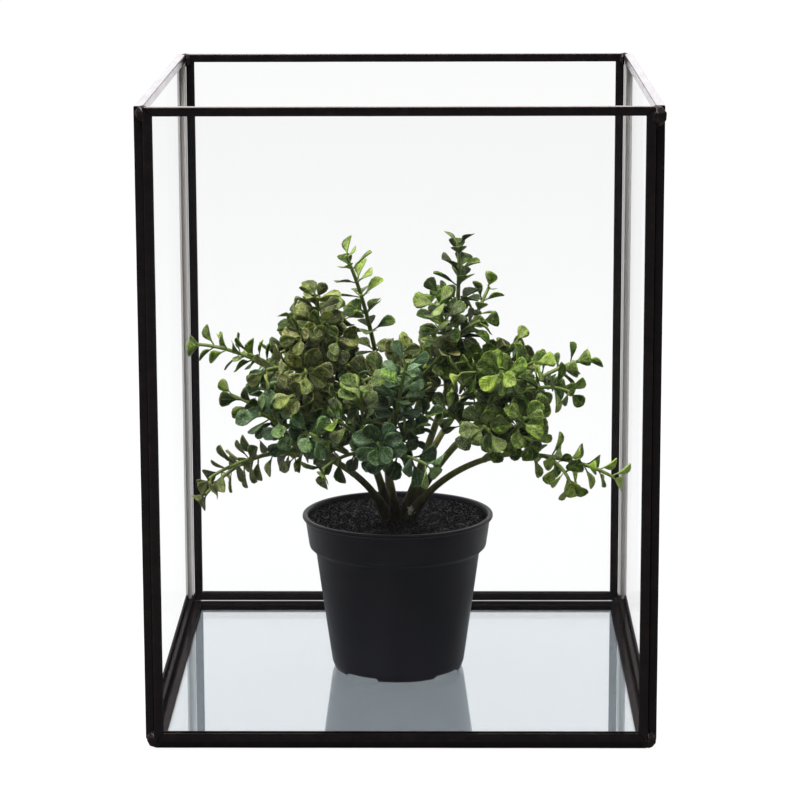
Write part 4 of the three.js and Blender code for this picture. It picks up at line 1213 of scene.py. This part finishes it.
# the least, and how far it may be passed, of where on its bearer a filler starts, its lean, its
# length and its leaves' length
FILLER_AT = (0.12, 0.7)
FILLER_LEAN = (0.6, 0.6)
FILLER_REACH = (20, 18)
FILLER_LEAF = (9.5, 2.5)


def in_crown(place):
    """Whether a place is inside one of the crown's lumps."""
    return any(
        sum(((place[i] - middle[i]) / reach[i]) ** 2 for i in range(3)) < 1 for middle, reach in CROWN
    )


filler_stream = draws_from(FILLER_SEED)
spray_list = list(SPRAYS.values())
for attempt in range(FILLER_TRIES):
    spray = spray_list[int(next(filler_stream) * len(spray_list))]
    bearer = spray["twigs"][int(next(filler_stream) * len(spray["twigs"]))]["curve"]
    at = FILLER_AT[0] + FILLER_AT[1] * next(filler_stream)
    azimuth = 2 * math.pi * next(filler_stream)
    lean = FILLER_LEAN[0] + FILLER_LEAN[1] * next(filler_stream)
    reach = FILLER_REACH[0] + FILLER_REACH[1] * next(filler_stream)
    size = FILLER_LEAF[0] + FILLER_LEAF[1] * next(filler_stream)
    along, first, second = bearer.cross_frame(at)
    out = first * math.cos(azimuth) + second * math.sin(azimuth)
    tip = bearer.at(at) + (along * math.cos(lean) + out * math.sin(lean)) * reach
    if not in_crown(tip):
        continue
    guide = twig_guide(bearer.at(at), along, tip, FILLER_BOW, FILLER_RADII)
    owner = len(STEMS) + len(twigs)
    path = np.array([guide.at(i / FILLER_STEPS) for i in range(FILLER_FREE_FROM, FILLER_STEPS + 1)])
    to_wood = np.linalg.norm(wood_places[:, None] - path[None], axis=2)
    to_leaves = np.linalg.norm(placed_samples.reshape(-1, 3)[:, None] - path[None], axis=2)
    if (to_wood < wood_reach[:, None] + FILLER_WOOD_GAP).any() or (to_leaves < FILLER_LEAF_GAP).any():
        continue
    twig = {"curve": guide, "from": FILLER_BARE, "leaf": size, "leaves": []}
    wanted = list(whorl_leaves(twig, draws_from(FILLER_SEED + SEED_STEP * (attempt + 1))))
    fitting = sum(1 for ways in wanted if clear_way(ways, owner, FILLER_GAP, FILLER_LOWEST))
    if fitting < FILLER_ROOM * len(wanted):
        continue
    for ways in wanted:
        found = clear_way(ways, owner, FILLER_GAP, FILLER_LOWEST)
        if found:
            place_leaf(twig, *found)
    spray["twigs"].append(twig)
    twigs.append(twig)
    wood_places = np.vstack([wood_places, path])
    wood_reach = np.append(wood_reach, [FILLER_RADII[0] + STEM_CLEARANCE] * len(path))
    wood_owner = np.append(wood_owner, [owner] * len(path))

# the leaves as they are shown: three forms, with their half widths at stations along them
LEAF_STATIONS = (0.05, 0.26, 0.38, 0.52, 0.68, 0.84, 0.95)
LEAF_KINDS = [
    {"widths": (0.10, 0.11, 0.36, 0.70, 0.95, 0.93, 0.58), "cup": 0.28, "arch": 0.24, "twist": 0.14},
    {"widths": (0.10, 0.12, 0.44, 0.78, 1.00, 0.90, 0.50), "cup": 0.44, "arch": 0.30, "twist": -0.18},
    {"widths": (0.09, 0.10, 0.28, 0.58, 0.86, 0.96, 0.66), "cup": 0.14, "arch": 0.19, "twist": 0.05},
]
LEAF_FULLER = 1.06
LEAF_TIP_FULLER = 0.22
LEAF_THICK = 0.028
LEAF_VEIN = 0.016
LEAF_VEIN_FROM = 0.3
LEAF_RIB = 1.5
LEAF_SUNK = 0.4
# how pale a leaf is: a draw for its own tone, more towards the tip of its twig, and its spray's own
# paler; the rise to the tip is partly frost on outer leaves, partly painted shade on leaves deep in the
# bush
SHADE_SPREAD = 0.50
SHADE_TO_TIP = 0.24
LEAST_SHADE = -0.08


def leaf_mesh(name, kind):
    """A leaf of length 1 along X, closed, thin at its edges, with a crease along its middle."""
    across_steps = (-1, -0.5, 0, 0.5, 1)
    points = [(0, 0, 0)]
    uvs = [(0.5, 0)]
    rows = []
    for along, width in zip(LEAF_STATIONS, kind["widths"]):
        half = width * LEAF_HALF_WIDTH
        row = {"top": [], "under": []}
        for across in across_steps:
            side = across * half
            lift = kind["cup"] * across * side - kind["arch"] * along * along
            lift += kind["twist"] * side * along
            crease = -LEAF_VEIN if across == 0 and along > LEAF_VEIN_FROM else 0
            row["top"].append(len(points))
            points.append((along, side, lift + crease))
            uvs.append(((across + 1) / 2, along))
            if abs(across) == 1:
                row["under"].append(row["top"][-1])
                continue
            row["under"].append(len(points))
            thick = LEAF_THICK * (LEAF_RIB if across == 0 else 1)
            points.append((along, side, lift + crease - thick))
            uvs.append(((across + 1) / 2, along))
        rows.append(row)
    tip = len(points)
    points.append((1, 0, -kind["arch"]))
    uvs.append((0.5, 1))
    faces = []
    for step in range(4):
        first = rows[0]
        last = rows[-1]
        faces.append((0, first["top"][step], first["top"][step + 1]))
        faces.append((0, first["under"][step + 1], first["under"][step]))
        faces.append((tip, last["top"][step + 1], last["top"][step]))
        faces.append((tip, last["under"][step], last["under"][step + 1]))
        for near, far in zip(rows, rows[1:]):
            faces.append((near["top"][step], far["top"][step], far["top"][step + 1], near["top"][step + 1]))
            faces.append((near["under"][step], near["under"][step + 1], far["under"][step + 1],
                          far["under"][step]))
    mesh = bpy.data.meshes.new(name)
    mesh.from_pydata(points, [], faces)
    outward(mesh)
    layer = mesh.uv_layers.new(name="leaf_uv")
    layer.data.foreach_set("uv", np.ravel([uvs[loop.vertex_index] for loop in mesh.loops]))
    mesh.shade_smooth()
    return mesh


leaf_meshes = [leaf_mesh(f"leaf_shape_{number}", kind) for number, kind in enumerate(LEAF_KINDS)]
leaf_shapes = [link_object(mesh.name, mesh) for mesh in leaf_meshes]

tree, given = new_tree("spray", {
    "Sides": "Int", "Leaf A": "Object", "Leaf B": "Object", "Leaf C": "Object", "Twig Finish": "Material",
    "Leaf Finish": "Material",
})
twig_skin = add_node(tree, "GeometryNodeSetMaterial", {
    "Geometry": tube_of(tree, given["Geometry"], given["Sides"]), "Material": given["Twig Finish"],
})
kinds = add_node(tree, "GeometryNodeJoinGeometry")
for label in ("Leaf C", "Leaf B", "Leaf A"):
    shape = add_node(tree, "GeometryNodeObjectInfo", {"Object": given[label], "As Instance": True})
    tree.links.new(shape.outputs["Geometry"], kinds.inputs["Geometry"])
leaf_roots = add_node(tree, "GeometryNodeMeshToPoints", {
    "Mesh": given["Geometry"], "Selection": named(tree, "is_leaf"),
})
size = named(tree, "size")
leaves = add_node(tree, "GeometryNodeInstanceOnPoints", {
    "Points": leaf_roots.outputs["Points"], "Instance": kinds.outputs["Geometry"], "Pick Instance": True,
    "Instance Index": named(tree, "kind", "INT"), "Rotation": named(tree, "turn", "QUATERNION"),
    "Scale": add_node(tree, "ShaderNodeCombineXYZ", {"X": size, "Y": size, "Z": size}).outputs[0],
})
real_leaves = add_node(tree, "GeometryNodeRealizeInstances", {"Geometry": leaves.outputs["Instances"]})
leaf_skin = add_node(tree, "GeometryNodeSetMaterial", {
    "Geometry": real_leaves.outputs["Geometry"], "Material": given["Leaf Finish"],
})
whole = add_node(tree, "GeometryNodeJoinGeometry", {"Geometry": twig_skin.outputs["Geometry"]})
tree.links.new(leaf_skin.outputs["Geometry"], whole.inputs["Geometry"])
add_node(tree, "NodeGroupOutput", {"Geometry": whole.outputs["Geometry"]})
spray_tree = tree

LEAF_TONES = {
    "blue": {"deep": (0.002, 0.008, 0.003), "main": (0.022, 0.056, 0.022), "pale": (0.22, 0.36, 0.16),
             "frost": (0.34, 0.46, 0.31)},
    "olive": {"deep": (0.004, 0.007, 0.001), "main": (0.066, 0.078, 0.010), "pale": (0.49, 0.50, 0.14),
              "frost": (0.61, 0.57, 0.34)},
    "fresh": {"deep": (0.003, 0.011, 0.001), "main": (0.050, 0.104, 0.004), "pale": (0.46, 0.62, 0.08),
              "frost": (0.58, 0.66, 0.27)},
    "dark": {"deep": (0.002, 0.006, 0.001), "main": (0.018, 0.043, 0.004), "pale": (0.25, 0.35, 0.06),
             "frost": (0.46, 0.45, 0.29)},
}
LEAF_GREEN = {"deep": (0.002, 0.008, 0.001), "main": (0.024, 0.066, 0.003), "pale": (0.28, 0.44, 0.05)}
SIDE_VEINS = 7.0
SIDE_VEIN_SLANT = -5.0


def leaf_material(name, tone):
    """Soft plastic printed with a frosted mottle, paler along the middle vein and the edge."""
    material, tree = new_material(name)
    uv = add_node(tree, "ShaderNodeUVMap", uv_map="leaf_uv").outputs["UV"]
    across = add_node(tree, "ShaderNodeSeparateXYZ", {"Vector": uv})
    # shade holds each leaf's own tone, with painted shade on leaves deep in the bush and painted light and
    # shade from its spray's paler
    shade = painted(tree, "shade")
    mottle = noise(tree, 420, 4, 0.6)
    mixed = calc(tree, "ADD", spread(tree, mottle, 0, 0.55, 0.3, 0.7), shade)
    tinted = ramp(tree, mixed, [(0.1, tone["deep"]), (0.6, tone["main"]), (1.0, tone["pale"])])
    green = ramp(tree, mixed, [
        (0.1, LEAF_GREEN["deep"]), (0.6, LEAF_GREEN["main"]), (1.0, LEAF_GREEN["pale"]),
    ])
    tint = painted(tree, "tint")
    colour = mix(tree, tint, green, tinted)
    centred = calc(tree, "SUBTRACT", across.outputs["X"], 0.5)
    off_vein = calc(tree, "ABSOLUTE", centred)
    vein = spread(tree, off_vein, 0.30, 0, 0.015, 0.06)
    rim = spread(tree, off_vein, 0, 0.85, 0.40, 0.5)
    tip_rim = spread(tree, across.outputs["Y"], 0, 0.75, 0.90, 1.0)
    paler = calc(tree, "MAXIMUM", vein, rim)
    paler = calc(tree, "MAXIMUM", paler, tip_rim)
    fine = noise(tree, 1700, 4, 0.7)
    broken = calc(tree, "MULTIPLY", paler, spread(tree, fine, 0.35, 1, 0.4, 0.6))
    skin = mix(tree, broken, colour, (*tone["pale"], 1))
    # side veins slant outwards from the middle one, as thin creases darkened with painted shade
    veins = calc(tree, "MULTIPLY", across.outputs["Y"], SIDE_VEINS)
    slanted = calc(tree, "MULTIPLY_ADD", off_vein, SIDE_VEIN_SLANT, veins)
    ripple = calc(tree, "SINE", calc(tree, "MULTIPLY", slanted, 2 * math.pi))
    crease = spread(tree, ripple, 0, 0.5, 0.35, 1.0)
    crease_shaded = mix(tree, crease, skin, (*tone["deep"], 1))
    frost_patch = spread(tree, noise(tree, 95, 3, 0.6), 0, 1, 0.40, 0.60)
    frost_patch = calc(tree, "MULTIPLY", frost_patch, spread(tree, shade, 0.25, 1, 0.15, 0.5))
    frost = calc(tree, "MULTIPLY", spread(tree, fine, 0.0, 0.8, 0.44, 0.62), frost_patch)
    shader = add_node(tree, "ShaderNodeBsdfPrincipled", {
        "Base Color": mix(tree, frost, crease_shaded, (*tone["frost"], 1)),
        "Roughness": spread(tree, mottle, 0.42, 0.6),
        "Specular IOR Level": 0.16, "Subsurface Weight": 0.12, "Subsurface Radius": (0.6, 1.0, 0.3),
        "Subsurface Scale": 0.001,
    })
    relief = calc(tree, "SUBTRACT", fine, crease)
    finish_material(tree, shader, relief, 0.00022)
    return material


leaf_skins = {tone: leaf_material(f"{tone}_leaf", colours) for tone, colours in LEAF_TONES.items()}

twig_green, tree = new_material("twig_green")
streak = noise(tree, 520, 4, 0.6, (1, 1, 0.4))
colour = ramp(tree, streak, [(0.3, (0.060, 0.100, 0.012)), (0.7, (0.20, 0.27, 0.045))])
shader = add_node(tree, "ShaderNodeBsdfPrincipled", {
    "Base Color": colour, "Roughness": spread(tree, streak, 0.42, 0.6),
})
finish_material(tree, shader, streak, 0.00015)

look_stream = draws_from(FIRST_SEED - 1)
for name, spray in SPRAYS.items():
    lines = []
    points = []
    for number, twig in enumerate(spray["twigs"]):
        swell = SLEEVE_SWELL if number == 0 else FORK_SWELL
        lines.append(walk(twig["curve"], TWIG_STEP, lambda reach: swell if reach < SLEEVE_REACH else 0.0))
        for leaf in twig["leaves"]:
            turn = Matrix((leaf["axis"], leaf["side"], leaf["up"])).transposed().to_quaternion()
            fuller = LEAF_FULLER + LEAF_TIP_FULLER * leaf["share"]
            kind = int(next(look_stream) * len(LEAF_KINDS))
            # inner leaves get painted shade, and leaves near the tip more frost
            shade = SHADE_SPREAD * next(look_stream) + SHADE_TO_TIP * leaf["share"] + LEAST_SHADE
            points.append({
                "place": leaf["root"] - leaf["axis"] * LEAF_SUNK, "turn": tuple(turn), "is_leaf": 1,
                "size": leaf["length"] * fuller * MM, "kind": kind,
                "shade": shade + spray.get("paler", 0), "tint": next(look_stream),
            })
    made = grow(f"leafy_{name}", skeleton(f"{name}_lines", lines, points), spray_tree, {
        "Sides": TWIG_SIDES, "Leaf A": leaf_shapes[0], "Leaf B": leaf_shapes[1], "Leaf C": leaf_shapes[2],
        "Twig Finish": twig_green, "Leaf Finish": leaf_skins[spray["tone"]],
    })
    made.data.shade_smooth()
    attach(made, "root")
    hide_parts(f"spray_{name}")
for shape in leaf_shapes:
    bpy.data.objects.remove(shape)
